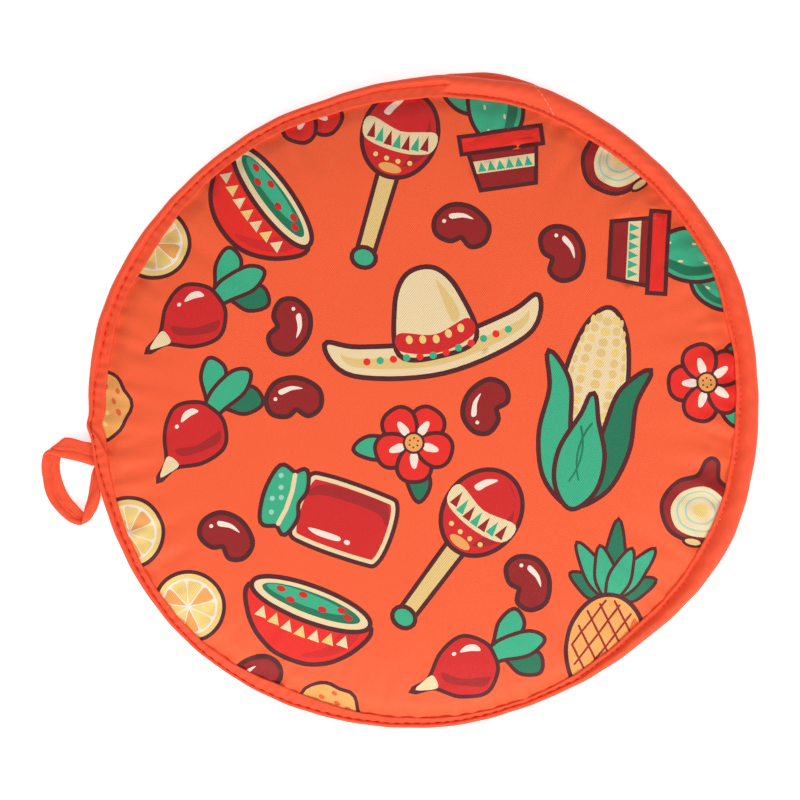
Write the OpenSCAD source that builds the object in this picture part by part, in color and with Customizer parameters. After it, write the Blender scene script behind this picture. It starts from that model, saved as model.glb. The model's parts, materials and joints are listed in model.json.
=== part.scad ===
// Round padded tortilla warmer: a soft insulated pouch, lying flat on its back.
// Two round pads are each a printed cover, batting and a lining, with a bound rim.
// The bound rims are sewn to each other all round except along the mouth.
// The origin is the middle of the flat underside and +Z is up.
// +X points out through the middle of the mouth, and the hanging loop is on -X.

/* [Pouch] */
// Outside diameter of the bound rim
rim_d = 305; // [250:1:320]
// Height of the pocket between the two linings, at the middle
pocket_h = 8; // [7:0.5:12]
// Height of the rim's underside above the surface that the pouch lies on
rim_lift = 0.3; // [0.3:0.1:1]

/* [Padding] */
// Thickness of the printed outer cloth
cover_t = 0.5; // [0.4:0.1:0.8]
// Thickness of the batting away from the rim
batting_t = 3.6; // [3:0.1:5]
// Thickness of the batting where the binding pinches it
pinched_t = 0.9; // [0.6:0.1:1.4]
// Thickness of the lining cloth
lining_t = 0.4; // [0.3:0.1:0.6]
// Width of the ring over which a pad draws in to its bound rim
draw_in_w = 14; // [8:1:24]

/* [Binding] */
// Width of the bias tape on one face of a pad
binding_w = 11.5; // [9:0.5:14]
// Thickness of the folded bias tape on one face
binding_t = 0.7; // [0.6:0.1:0.9]

/* [Mouth] */
// Angle of the rim that is left open
mouth_angle = 147; // [120:1:160]
// Angle by which the front lip stands off the back pad when left alone
mouth_gape = 4; // [3.5:0.5:8]

/* [Hanging loop] */
// Width of the folded tape
tape_w = 10.5; // [8:0.5:11]
// Thickness of the folded tape
tape_t = 1; // [0.8:0.1:1.2]
// How far the loop reaches out past the rim
loop_reach = 27; // [24:1:30]
// Length of each tape end that is sewn in between the two rims
tab_l = 9; // [6:1:11]

/* [Stitching] */
// Width of a sewing thread as it lies in the cloth
thread_w = 0.6; // [0.4:0.1:0.8]
// Depth that a thread is pulled into the binding
thread_depth = 0.25; // [0.2:0.05:0.3]
// Distance of the binding's stitches from its inner edge
binding_seam_in = 2; // [1.5:0.5:3]
// Distance of the closing stitches from the outer edge of the rim
closing_seam_in = 2.7; // [2.5:0.1:4]
// Angle, from the middle of the mouth, of the diagonal joint in the lip's bias tape
tape_join_angle = 56; // [20:1:62]

/* [Hidden] */
$fn = 96;

cover_colour = "#FB6040";
binding_colour = "#F4532F";
lining_colour = "#E9542F";
batting_colour = "#F2EFE6";
thread_colour = "#C93F2B";

rim_r = rim_d / 2;
bound_inner_r = rim_r - binding_w;
pad_t = cover_t + batting_t + lining_t;
pinched_pad_t = cover_t + pinched_t + lining_t;
bound_t = pinched_pad_t + 2 * binding_t;
// Middle of the round edge of a bound rim, where the padding inside it ends
pad_edge_r = rim_r - bound_t / 2;
front_rim_z = rim_lift + bound_t;
front_pinched_z = front_rim_z + binding_t;
fold_x = rim_r * cos(mouth_angle / 2);
fold_gap = 0.3;
// More than the height and less than twice the width of the pouch, for the blocks that cut it
clear_h = 60;
clear_w = rim_d;

// 0 before the drawn-in ring, 1 under the binding, smooth between
function ease(t) = let (u = min(max(t, 0), 1)) u * u * (3 - 2 * u);
function draw_in(r) = ease((r - bound_inner_r + draw_in_w) / draw_in_w);
// 1 at the middle of the front pad, 0 from the binding's inner edge outwards
function crown(r) = 1 - pow(min(r / bound_inner_r, 1), 2);

// Heights of the lower and the upper face of each pad at a radius
function thickness(r) = pad_t + (pinched_pad_t - pad_t) * draw_in(r);
function back_low(r) = (rim_lift + binding_t) * draw_in(r);
function back_high(r) = back_low(r) + thickness(r);
function front_low(r) = front_pinched_z + (pad_t + pocket_h - front_pinched_z) * crown(r);
function front_high(r) = front_low(r) + thickness(r);
// Height of the line about which the lip folds: the front face at the middle of that line
fold_z = front_high(fold_x);

// Radii at which a pad's section is drawn, closer together towards the rim
section_steps = 16;
radii = concat([for (i = [0:section_steps]) bound_inner_r * sin(90 * i / section_steps)],
    [pad_edge_r]);

// One layer of a round pad, between two heights that depend on the radius
module layer(low, high) {
    last = len(radii) - 1;
    rotate_extrude()
        polygon(concat(
            [for (r = radii) [r, low(r)]],
            [for (i = [last:-1:0]) [radii[i], high(radii[i])]]));
}

// What lies behind the line on which the lip folds
module behind_fold() {
    intersection() {
        children();
        translate([-clear_w, -clear_w, -1])
            cube([clear_w + fold_x, 2 * clear_w, clear_h]);
    }
}

// What lies in front of that line, turned up by the gape of the mouth
module as_lip() {
    translate([fold_x, 0, fold_z])
        rotate([0, -mouth_gape, 0])
            translate([-fold_x, 0, -fold_z])
                intersection() {
                    children();
                    translate([fold_x + fold_gap, -clear_w, -1])
                        cube([clear_w, 2 * clear_w, clear_h]);
                }
}

// Folded tape round a rim, open towards the middle, with its lower face at z
module tape_ring(z) {
    flat_w = binding_w - bound_t / 2;
    rotate_extrude()
        difference() {
            union() {
                translate([bound_inner_r, z])
                    square([flat_w, bound_t]);
                translate([pad_edge_r, z + bound_t / 2])
                    circle(d = bound_t);
            }
            translate([bound_inner_r - 1, z + binding_t])
                square([flat_w + 1, pinched_pad_t]);
            translate([pad_edge_r, z + bound_t / 2])
                circle(d = pinched_pad_t);
        }
}

// Two threads at one radius, pulled in level with the faces at z_low and z_high
module thread_pair(r, z_low, z_high) {
    rotate_extrude() {
        translate([r - thread_w / 2, z_low])
            square([thread_w, thread_depth]);
        translate([r - thread_w / 2, z_high - thread_depth])
            square([thread_w, thread_depth]);
    }
}

// Stitches that hold a folded tape on its pad
module binding_threads(z) {
    thread_pair(bound_inner_r + binding_seam_in, z, z + bound_t);
}

// Stitches that join the two rims behind the fold
module closing_threads() {
    behind_fold()
        thread_pair(rim_r - closing_seam_in, rim_lift, front_rim_z + bound_t);
}

// Stitches across the lip's tape, where two lengths of it are joined on the bias
join_slant = 4.5;
module join_thread() {
    inner_r = bound_inner_r + binding_seam_in + 2 * thread_w;
    outer_r = pad_edge_r - thread_w;
    inner_a = tape_join_angle - join_slant / 2;
    outer_a = tape_join_angle + join_slant / 2;
    start = inner_r * [cos(inner_a), sin(inner_a)];
    span = outer_r * [cos(outer_a), sin(outer_a)] - start;
    translate([start.x, start.y, front_rim_z + bound_t - thread_depth])
        rotate([0, 0, atan2(span.y, span.x)])
            cube([norm(span), thread_w, thread_depth]);
}

// Middle of each end of the loop's tape at the rim, and how far it slants off square to the rim
tab_ys = [10.5, -4];
tab_slants = [0, 28];
tab_out = 0.8;
loop_start = 1.9;

// What lies further out on the loop's side than a distance from the rim
module beyond_rim(out) {
    intersection() {
        children();
        translate([-rim_r - out - clear_w, -clear_w, -clear_h])
            cube([clear_w, 2 * clear_w, 2 * clear_h]);
    }
}

// The two tape ends lie flat between the rims, half of their thickness in each,
// and stop short of the binding's stitches
module tape_ends() {
    difference() {
        for (i = [0, 1])
            translate([-rim_r, tab_ys[i], front_rim_z - tape_t / 2])
                rotate([0, 0, tab_slants[i]])
                    translate([-tape_w / 2, -tape_w / 2, 0])
                        cube([tape_w / 2 + tab_l, tape_w, tape_t]);
        translate([-rim_r - tab_out - clear_w, -clear_w, -1])
            cube([clear_w, 2 * clear_w, clear_h]);
        cylinder(r = bound_inner_r + binding_seam_in + thread_w, h = clear_h);
    }
}

// Middle line of the loop's tape: out past the rim, round, and back in at a slant
loop_route = [[-1, 10.3, 0], [7, 12, 0], [14, 13.4, 0.4], [19.6, 11.4, 1.9],
    [21.8, 6, 1.6], [21.6, -0.8, 1.2], [19.6, -8, 1.3], [16.4, -14, 1.8], [12.2, -16.8, 2.1],
    [8.4, -14.6, 1.5], [5.6, -10, 0.7], [3, -6.2, 0.1], [-1, -3.6, 0]];
// Direction of the tape's width at each of those points: it turns over at the bottom
loop_width_dirs = [[0, 1, 0], [-0.15, 1, 0], [-0.3, 0.95, 0.1], [-0.64, 0.4, 0.5],
    [-0.95, -0.1, 0.4], [-0.96, 0.1, 0.3], [-0.92, 0.4, 0.3], [-0.7, 0.6, 0.6],
    [-0.2, 0.3, 0.95], [0.5, 0.35, 0.8], [0.85, 0.45, 0.4], [0.75, 0.65, 0.1], [0.5, 0.85, 0]];
route_reach = 27;
steps_per_span = 3;

function unit(v) = v / norm(v);
function at(list, i) = list[min(max(i, 0), len(list) - 1)];
// Smooth curve through a list of points, at a position counted in points from its start
function through(list, s) =
    let (i = min(floor(s), len(list) - 2), t = s - i,
        a = at(list, i - 1), b = at(list, i), c = at(list, i + 1), d = at(list, i + 2))
    b + t * ((c - a) / 2 + t * (a - 2.5 * b + 2 * c - d / 2
        + t * (1.5 * (b - c) + (d - a) / 2)));

// From the route's own directions to the pouch's
function from_rim(v) = [-v[0] * loop_reach / route_reach, v[1], v[2]];
function tape_middle(s) = [-rim_r, 0, front_rim_z] + from_rim(through(loop_route, s));
function tape_along(s) = unit(tape_middle(s + 0.01) - tape_middle(s - 0.01));
function tape_across(s) =
    let (w = from_rim(through(loop_width_dirs, s)), t = tape_along(s))
    unit(w - (w * t) * t);

// A strip that follows the loop's tape, cut off where the tape meets its sewn end.
// Its section is a list of points across and off the tape, and inlaid turns the
// diagonals of its faces, so that a strip in a groove has the same faces as the groove.
module along_tape(section, inlaid) {
    count = len(section);
    rings = (len(loop_route) - 1) * steps_per_span;
    points = [
        for (i = [0:rings])
            let (s = i / steps_per_span, middle = tape_middle(s), side = tape_across(s),
                up = cross(tape_along(s), side))
            for (p = section)
                middle + side * p.x + up * p.y
    ];
    walls = [
        for (i = [0:rings - 1], k = [0:count - 1])
            let (a = count * i + k, b = count * i + (k + 1) % count, c = a + count, d = b + count)
            each inlaid ? [[a, c, b], [b, c, d]] : [[a, c, d], [a, d, b]]
    ];
    first = [for (k = [0:count - 1]) k];
    last = [for (k = [count - 1:-1:0]) count * rings + k];
    beyond_rim(loop_start)
        polyhedron(points, concat([first, last], walls));
}

module back_cover() {
    color(cover_colour)
        layer(function(r) back_low(r), function(r) back_low(r) + cover_t);
}

module back_batting() {
    color(batting_colour)
        layer(function(r) back_low(r) + cover_t, function(r) back_high(r) - lining_t);
}

module back_lining() {
    color(lining_colour)
        layer(function(r) back_high(r) - lining_t, function(r) back_high(r));
}

module back_binding() {
    color(binding_colour)
        difference() {
            tape_ring(rim_lift);
            binding_threads(rim_lift);
            closing_threads();
            tape_ends();
        }
}

module back_binding_seam() {
    color(thread_colour)
        binding_threads(rim_lift);
}

// The front pad's layers as whole rounds, before the fold divides them
module round_cover() {
    layer(function(r) front_high(r) - cover_t, function(r) front_high(r));
}

module round_batting() {
    layer(function(r) front_low(r) + lining_t, function(r) front_high(r) - cover_t);
}

module round_lining() {
    layer(function(r) front_low(r), function(r) front_low(r) + lining_t);
}

module front_cover() {
    color(cover_colour)
        behind_fold()
            round_cover();
}

module front_batting() {
    color(batting_colour)
        behind_fold()
            round_batting();
}

module front_lining() {
    color(lining_colour)
        behind_fold()
            round_lining();
}

module front_binding() {
    color(binding_colour)
        behind_fold()
            difference() {
                tape_ring(front_rim_z);
                binding_threads(front_rim_z);
                closing_threads();
                tape_ends();
            }
}

module front_binding_seam() {
    color(thread_colour)
        behind_fold()
            binding_threads(front_rim_z);
}

module closing_seam() {
    color(thread_colour)
        closing_threads();
}

module loop_tabs() {
    color(binding_colour)
        tape_ends();
}

module lip_cover() {
    color(cover_colour)
        as_lip()
            round_cover();
}

module lip_batting() {
    color(batting_colour)
        as_lip()
            round_batting();
}

module lip_lining() {
    color(lining_colour)
        as_lip()
            round_lining();
}

module lip_binding() {
    color(binding_colour)
        as_lip()
            difference() {
                tape_ring(front_rim_z);
                binding_threads(front_rim_z);
                join_thread();
            }
}

module lip_binding_seam() {
    color(thread_colour)
        as_lip()
            binding_threads(front_rim_z);
}

module tape_join_seam() {
    color(thread_colour)
        as_lip()
            join_thread();
}

// Sides of the row of edge stitches across the tape, and the height of its groove's floor
stitch_shift = -0.6;
stitch_low = stitch_shift - thread_w / 2;
stitch_high = stitch_shift + thread_w / 2;
half_w = tape_w / 2;
half_t = tape_t / 2;
groove_z = half_t - thread_depth;

module hanging_loop() {
    color(binding_colour)
        along_tape([[-half_w, -half_t],
            [stitch_low, -half_t], [stitch_low, -groove_z],
            [stitch_high, -groove_z], [stitch_high, -half_t],
            [half_w, -half_t], [half_w, half_t],
            [stitch_high, half_t], [stitch_high, groove_z],
            [stitch_low, groove_z], [stitch_low, half_t],
            [-half_w, half_t]], false);
}

// The edge stitches, seen on both faces of the loop's tape
module loop_edge_seam() {
    color(thread_colour) {
        along_tape([[stitch_low, -half_t], [stitch_high, -half_t],
            [stitch_high, -groove_z], [stitch_low, -groove_z]], true);
        along_tape([[stitch_low, groove_z], [stitch_high, groove_z],
            [stitch_high, half_t], [stitch_low, half_t]], true);
    }
}

back_cover();
back_batting();
back_lining();
back_binding();
back_binding_seam();
front_cover();
front_batting();
front_lining();
front_binding();
front_binding_seam();
closing_seam();
loop_tabs();
lip_cover();
lip_batting();
lip_lining();
lip_binding();
lip_binding_seam();
tape_join_seam();
hanging_loop();
loop_edge_seam();
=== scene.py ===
import json
import math
import random

import bpy
import numpy as np
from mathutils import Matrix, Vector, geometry
from mathutils.kdtree import KDTree


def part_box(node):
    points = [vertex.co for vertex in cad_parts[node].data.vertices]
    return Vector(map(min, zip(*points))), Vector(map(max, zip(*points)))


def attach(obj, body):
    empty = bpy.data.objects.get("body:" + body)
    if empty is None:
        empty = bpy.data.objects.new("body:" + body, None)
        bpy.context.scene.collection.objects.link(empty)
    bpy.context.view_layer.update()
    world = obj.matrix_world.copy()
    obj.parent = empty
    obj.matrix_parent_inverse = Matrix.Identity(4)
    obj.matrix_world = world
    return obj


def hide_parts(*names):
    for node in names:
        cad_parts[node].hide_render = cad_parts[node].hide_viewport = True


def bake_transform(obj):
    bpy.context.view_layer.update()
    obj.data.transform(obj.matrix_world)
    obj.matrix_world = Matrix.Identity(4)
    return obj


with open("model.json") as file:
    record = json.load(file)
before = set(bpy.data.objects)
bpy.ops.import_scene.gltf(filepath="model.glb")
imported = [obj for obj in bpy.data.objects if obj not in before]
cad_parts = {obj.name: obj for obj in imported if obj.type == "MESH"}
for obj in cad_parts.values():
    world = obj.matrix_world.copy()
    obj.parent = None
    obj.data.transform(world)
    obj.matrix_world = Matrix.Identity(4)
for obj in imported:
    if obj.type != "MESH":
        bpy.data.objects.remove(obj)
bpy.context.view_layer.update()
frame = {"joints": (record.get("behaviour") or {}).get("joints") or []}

mm = 0.001
joints = {joint["name"]: joint for joint in frame["joints"]}


def cadEdge(node, end, axis):
    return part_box(node)[end][axis] / mm  # end 0 is the low side and 1 the high side


# the pouch's own measures, in millimetres and degrees, from the frame where it has them
rimRadius = cadEdge("back_binding", 1, 0)
rimLow, rimHigh = cadEdge("back_binding", 0, 2), cadEdge("front_binding", 1, 2)
bandHeight = (rimHigh - rimLow) / 2
backMiddle, frontMiddle = rimLow + bandHeight / 2, rimHigh - bandHeight / 2
padThickness = cadEdge("back_lining", 1, 2)
frontPeak = cadEdge("front_cover", 1, 2)
foldX, foldZ = joints["lip_lift"]["pos_m"][0] / mm, joints["lip_lift"]["pos_m"][2] / mm
mouthHalf = math.degrees(math.acos(foldX / rimRadius))

pouch = {
    # (degrees, mm) of the rim's radius, its tape's width, and edge to closing stitches, off the photograph
    "outline": [(-180, 155), (-152, 156), (-140, 155), (-128, 153.5), (-115, 151.5), (-95, 149.5), (-84, 148),
                (-75, 148), (-60, 149.5), (-50, 152), (-43, 154), (-36, 155), (-22, 154), (-6, 153.5),
                (10, 155), (24, 154), (45, 153.5), (62, 155), (66, 154.5), (72, 152), (80, 149), (88, 147.5),
                (96, 146.5), (106, 147.5), (120, 148.5), (132, 150.5), (143, 153), (155, 155)],
    "bandWidths": [(-180, 6.5), (-163, 5.5), (-140, 5.5), (-129, 7.5), (-120, 6.5), (-114, 5.5), (-95, 4.5),
                   (-85, 4), (-78, 4.5), (-70, 6), (-60, 8), (-50, 9.5), (-40, 11.5), (-30, 11), (-20, 11),
                   (-5, 10), (5, 11), (12, 10), (35, 10.5), (45, 11.5), (56, 12), (65, 10.5), (73, 10.5),
                   (80, 10), (90, 8.5), (100, 7.5), (120, 7), (130, 8), (139, 9.5), (150, 8.5), (157, 9),
                   (168, 8)],
    "closingIn": [(-180, 2), (-175, 3), (-160, 2.5), (-140, 1.5), (-120, 2), (-75, 2.5), (0, 3), (73, 4.5),
                  (85, 3.5), (130, 3.5), (140, 4), (156, 4.5), (164, 3), (175, 1.5)],
    "liftShift": 0.0165,  # the lifted lip looks this share nearer and further out than it is
    "pinchedThickness": 1.8,
    "drawnIn": 14,        # ring over which a pad draws in to its rim
    "roundInner": 141,    # inner edge of the binding on the even round
    "gape": 4,            # how far the lip stands open
    "gapeReach": 62,      # over which it turns up
    "backPeek": (66, 7, 2.9),  # where the back rim shows past the front one: angle, half width, size
    "seamIn": 2.2,        # from the binding's inner edge to its own stitches
    "tuck": 3.4,          # how far the cloths reach in under the binding
}


photo = {
    "width": 800,             # pixels
    "scale": 0.4604,          # mm of the pouch to a pixel
    "middle": (425.5, 401.4), # pixel of the pouch's origin
    "turn": 12.5,             # degrees that the pouch is turned in the picture
    "distance": 1200,         # mm, straight above
    "height": 6,              # mm above the floor at which the scale holds
}


def fromPhoto(pixels):
    # places in the pouch's own x and y, in mm, of pixels of the photograph
    across = (pixels[..., 0] - photo["middle"][0]) * photo["scale"]
    up = (photo["middle"][1] - pixels[..., 1]) * photo["scale"]
    t = math.radians(photo["turn"])
    return np.stack([across * math.cos(t) + up * math.sin(t), up * math.cos(t) - across * math.sin(t)], -1)


def smooth(t):
    t = np.clip(t, 0, 1)
    return t * t * (3 - 2 * t)


def around(stops, a):
    # a closed smooth run through (degrees, value) stops, at angles in radians
    at = np.radians([s[0] for s in stops])
    value = np.array([s[1] for s in stops], float)
    count = len(at)
    a = np.mod(np.asarray(a, float) - at[0], 2 * np.pi) + at[0]
    i = np.clip(np.searchsorted(at, a, side="right") - 1, 0, count - 1)
    nextAt = np.append(at[1:], at[0] + 2 * np.pi)
    t = (a - at[i]) / (nextAt[i] - at[i])
    p, q, r, s = (value[(i + k) % count] for k in (-1, 0, 1, 2))
    slope1, slope2 = (r - p) / 2, (s - q) / 2
    return q + t * (slope1 + t * (3 * (r - q) - 2 * slope1 - slope2 + t * (2 * (q - r) + slope1 + slope2)))


def halfTurn(a):
    return np.degrees(np.mod(a + np.pi, 2 * np.pi) - np.pi)  # degrees from -180 to 180


def bump(x, middle, halfWidth):
    return np.exp(-((x - middle) / halfWidth) ** 2)


def closedShare(a):
    return smooth((np.abs(halfTurn(a)) - mouthHalf + 1.2) / 2.6)  # 0 along the mouth, 1 where it is sewn


def backPeek(a):
    middle, halfWidth, size = pouch["backPeek"]
    return size * bump(halfTurn(a), middle, halfWidth)


def silhouette(a):
    return around(pouch["outline"], a) + 0.25


def gapeAt(a):
    return smooth((rimRadius * np.cos(a) - foldX) / 40)  # 0 where the rims touch, 1 where the mouth gapes


def frontEdge(a):
    lift = pouch["liftShift"] * np.clip(rimRadius * np.cos(a) - foldX, 0, None)
    return silhouette(a) - lift - backPeek(a) + rimWobble(a, 3) + overlapNub(a)


def backEdge(a):
    return silhouette(a) - 0.8 + 0.8 * np.clip(backPeek(a), 0, 1) + rimWobble(a, 8)


def ripple(along, across, seed, waves, slant):
    # a sum of slanted waves: (length, size) each, with a phase and a slant from the seed
    draw = random.Random(seed)
    total = 0.0 * (along + across)
    for length, size in waves:
        turn, phase = draw.uniform(-slant, slant), draw.uniform(0, 2 * math.pi)
        total = total + size * np.sin(2 * np.pi * (along + turn * across) / length + phase)
    return total


def rimWobble(a, seed):
    return ripple(a * rimRadius, 0 * a, seed, [(2 * math.pi * rimRadius / n, 0.06) for n in (23, 41, 59)], 0)


def bandWidth(a):
    return around(pouch["bandWidths"], a)


def closingIn(a):
    return around(pouch["closingIn"], a)


def innerEdge(a):
    return frontEdge(a) - bandWidth(a)


def backBandWidth(a):
    return 6.5 + 0.4 * bandWidth(a)


def backInnerEdge(a):
    return backEdge(a) - backBandWidth(a)


# pad surfaces over the even round: q is 0 at the middle and 1 at the binding's inner edge
def padThick(q):
    pinch = smooth((q - 1) * pouch["roundInner"] / pouch["drawnIn"] + 1)
    return padThickness + (pouch["pinchedThickness"] - padThickness) * pinch


frontRimLow = frontMiddle - pouch["pinchedThickness"] / 2
frontCrown = frontPeak - padThickness - frontRimLow


def frontLow(q):
    return frontRimLow + frontCrown * (1 - np.clip(q, 0, 1) ** 2)


def frontHigh(q):
    return frontLow(q) + padThick(q)


def backLow(q):
    return (backMiddle - pouch["pinchedThickness"] / 2) * smooth((q - 1) * pouch["roundInner"] / pouch["drawnIn"] + 1)


def backHigh(q):
    return backLow(q) + padThick(q)


def lifted(points):
    # the front lip, turned up about the fold by the gape of the mouth
    x, z = points[..., 0] - foldX, points[..., 2] - foldZ
    t = math.radians(pouch["gape"]) * smooth(x / pouch["gapeReach"])
    out = np.array(points, float)
    out[..., 0] = foldX + x * np.cos(t) - z * np.sin(t)
    out[..., 2] = foldZ + x * np.sin(t) + z * np.cos(t)
    return out


# binding: height of its upper face over the middle of the rim, u mm in from the edge
binding = {
    "crest": (3.1, 3.6),        # half height of the roll, sewn side and mouth side
    "rollShare": 0.36,          # share of the width at which the outer roll is highest
    "valley": 0.9,              # height of the mouth side's seam valley
    "ridge": (2.7, 1.95),       # height of the folded inner edge
    "closingValley": 0.15,      # height of the groove that the closing seam pulls in
    "tapeThickness": 0.45,
    "creases": [(31, 0.10), (19, 0.10), (11.5, 0.10), (7.3, 0.08)],
    "puckers": 0.16,            # the tape puckers between the stitches of a seam
    "seed": 5,
    "sections": 1280,
    "topPoints": 36,
    "underPoints": 10,
    "channelPoints": 6,
}
overlap = {
    "outer": 170.4,   # angle at which the tape's folded end crosses the outer edge
    "inner": 177.0,   # and the inner edge
    "height": 0.95,
    "length": 17,     # mm for which the tape lies double
    "nub": (171.6, 1.4, 1.3),  # the folded corner stands out past the rim: angle, half width, size
}


def overlapNub(a):
    middle, halfWidth, size = overlap["nub"]
    return size * bump(np.degrees(np.mod(a, 2 * np.pi)), middle, halfWidth)


def overlapPast(a, t):
    # mm past the tape's folded end, which crosses the rim on the bias
    line = overlap["outer"] + (overlap["inner"] - overlap["outer"]) * t
    return np.radians(np.degrees(np.mod(a, 2 * np.pi)) - line) * rimRadius


def overlapStep(a, t):
    past = overlapPast(a, t)
    raised = smooth(past / 0.7 + 0.5) * smooth((overlap["length"] - past) / 7)
    return overlap["height"] * raised + 0.35 * bump(past, 0.7, 0.6)


def seamPits(a, pitch, seed):
    # 0 between two stitches and 1 at a stitch
    wander = ripple(a * rimRadius, 0 * a, seed, [(37, 0.5), (13, 0.2)], 0)
    return 0.5 + 0.5 * np.cos(2 * np.pi * (a * rimRadius + wander) / pitch)


def bandRise(a, u, width):
    closed, seed = closedShare(a), binding["seed"]
    narrow = np.clip(width / 8.5, 0.62, 1)
    (sewnCrest, crest), (sewnRidge, ridge) = binding["crest"], binding["ridge"]
    sewnCrest, crest = sewnCrest * narrow, crest * narrow
    u = np.clip(u, 0, width)
    t, in_, along = u / width, width - u, a * rimRadius
    uneven = 0.14 * ripple(along, 0 * u, seed + 1, [(9.1, 1), (5.3, 0.7)], 0)
    # mouth side: a wide roll, the valley of its own seam, then a ridge
    share, seamAt, valley = binding["rollShare"], 1 - pouch["seamIn"] / width, binding["valley"]
    roll = np.sqrt(np.clip(1 - (1 - np.clip(t / share, 0, 1)) ** 2, 0, 1))
    fall = np.clip((t - share) / np.maximum(seamAt - share, 0.08), 0, 1)
    rise = np.sin(np.pi / 2 * np.clip((pouch["seamIn"] - in_) / 1.5, 0, 1))
    h = np.where(t < share, crest * roll, valley + (crest - valley) * (1 - fall ** 1.9))
    h = np.where(t < seamAt, h, valley + (ridge + uneven - valley) * rise)
    h = h - binding["puckers"] * 2 * seamPits(a, 3.0, seed) * bump(in_, pouch["seamIn"], 0.8)
    # sewn side: a narrow roll, the groove that the closing seam pulls in, then a slope up the swollen pad
    groove = closingIn(a)
    sewnCrest = np.minimum(sewnCrest, 0.55 * groove + 0.45)
    crestIn = 0.6 * groove
    deep = binding["closingValley"] + 0.8 * (1 - seamPits(a, 4.7, seed + 2))
    sewnRoll = np.sqrt(np.clip(1 - (1 - np.clip(u / crestIn, 0, 1)) ** 2, 0, 1))
    down = np.clip((u - crestIn) / (groove - crestIn), 0, 1)
    slope = np.clip((u - groove) / np.maximum(width - groove, 0.5), 0, 1)
    climb = 0.38 * smooth((u - groove) / 0.9) + 0.62 * slope
    sewnRidge = sewnRidge * np.sqrt(narrow) + uneven
    sewn = np.where(u < crestIn, sewnCrest * sewnRoll, deep + (sewnCrest - deep) * (1 - down ** 3))
    sewn = np.where(u < groove, sewn, deep + (sewnRidge - deep) * climb)
    h = h + (sewn - h) * closed - 0.5 * bump(in_, -0.1, 0.35)
    roll = roll + (sewnRoll - roll) * closed
    middle = np.sin(np.pi * t) ** 0.8
    return np.maximum(h + middle * ripple(along, u, seed, binding["creases"], 1.3), 0.38 * np.minimum(1, roll))


def frontBandTop(a, u):
    width = bandWidth(a)
    return bandRise(a, u, width) + overlapStep(a, np.clip(u / width, 0, 1)) * np.minimum(1, u / 0.8)


def clothUnderBand(a, u):
    # height of the cover where the tape grips it, over the rim's middle
    most = pouch["pinchedThickness"] / 2 + 1.4 * closedShare(a)
    return np.clip(frontBandTop(a, u) - binding["tapeThickness"] - 0.12, 0.12, most)


def liningUnderBand(a, u):
    return np.minimum(clothUnderBand(a, u), pouch["pinchedThickness"] / 2)


# meshes
def makePiece(name, points, faces, material):
    mesh = bpy.data.meshes.new(name)
    mesh.from_pydata((np.asarray(points, float) * mm).tolist(), [], [list(map(int, f)) for f in faces])
    mesh.validate()
    mesh.shade_smooth()
    piece = bpy.data.objects.new(name, mesh)
    bpy.context.scene.collection.objects.link(piece)
    if material is not None:
        mesh.materials.append(material)
    return piece


def sweptPiece(name, rings, material, closedRun, alongStops, aroundStops):
    # rings of one closed section, joined in order; its UV map is in metres along and round the section
    count, size = rings.shape[:2]
    runs = count if closedRun else count - 1
    i, k = np.meshgrid(np.arange(runs), np.arange(size), indexing="ij")
    i2, k2 = (i + 1) % count, (k + 1) % size
    faces = np.stack([i * size + k, i2 * size + k, i2 * size + k2, i * size + k2], -1).reshape(-1, 4)
    u = np.stack([alongStops[i], alongStops[i + 1], alongStops[i + 1], alongStops[i]], -1).reshape(-1)
    v = np.stack([aroundStops[k], aroundStops[k], aroundStops[k + 1], aroundStops[k + 1]], -1).reshape(-1)
    points = rings.reshape(-1, 3)
    faces = faces.tolist()
    if not closedRun:
        faces += [list(range(size))[::-1], [(count - 1) * size + n for n in range(size)]]
        u, v = np.append(u, np.zeros(2 * size)), np.append(v, np.zeros(2 * size))
    mesh = bpy.data.meshes.new(name)
    mesh.from_pydata((points * mm).tolist(), [], faces)
    uv = mesh.uv_layers.new(name="tape")
    uv.data.foreach_set("uv", (np.stack([u, v], -1) * mm).astype(np.float32).ravel())
    mesh.shade_smooth()
    mesh.materials.append(material)
    piece = bpy.data.objects.new(name, mesh)
    bpy.context.scene.collection.objects.link(piece)
    return piece


def outward(piece):
    # turns a closed piece right side out, by the sign of its volume
    mesh = piece.data
    mesh.calc_loop_triangles()
    tri = np.zeros(len(mesh.loop_triangles) * 3, np.int32)
    mesh.loop_triangles.foreach_get("vertices", tri)
    co = np.zeros(len(mesh.vertices) * 3)
    mesh.vertices.foreach_get("co", co)
    p = co.reshape(-1, 3)[tri.reshape(-1, 3)]
    if np.einsum("ij,ij->i", p[:, 0], np.cross(p[:, 1], p[:, 2])).sum() < 0:
        mesh.flip_normals()
    return piece


# materials
def linear(hexColour):
    parts = [int(hexColour[i:i + 2], 16) / 255 for i in (1, 3, 5)]
    return tuple(c / 12.92 if c <= 0.04045 else ((c + 0.055) / 1.055) ** 2.4 for c in parts) + (1.0,)


def add(tree, kind, inputs=None, **settings):
    # one node, with its settings, and with each input set to a value or linked to a socket
    made = tree.nodes.new(kind)
    for name, value in settings.items():
        setattr(made, name, value)
    for name, value in (inputs or {}).items():
        socket = made.inputs[name]
        if isinstance(value, bpy.types.NodeSocket):
            tree.links.new(value, socket)
        else:
            socket.default_value = value
    return made


def newMaterial(name):
    made = bpy.data.materials.new(name)
    made.use_nodes = True
    tree = made.node_tree
    tree.nodes.clear()
    shader = add(tree, "ShaderNodeBsdfPrincipled")
    add(tree, "ShaderNodeOutputMaterial", {"Surface": shader.outputs[0]})
    return made, tree, shader


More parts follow.
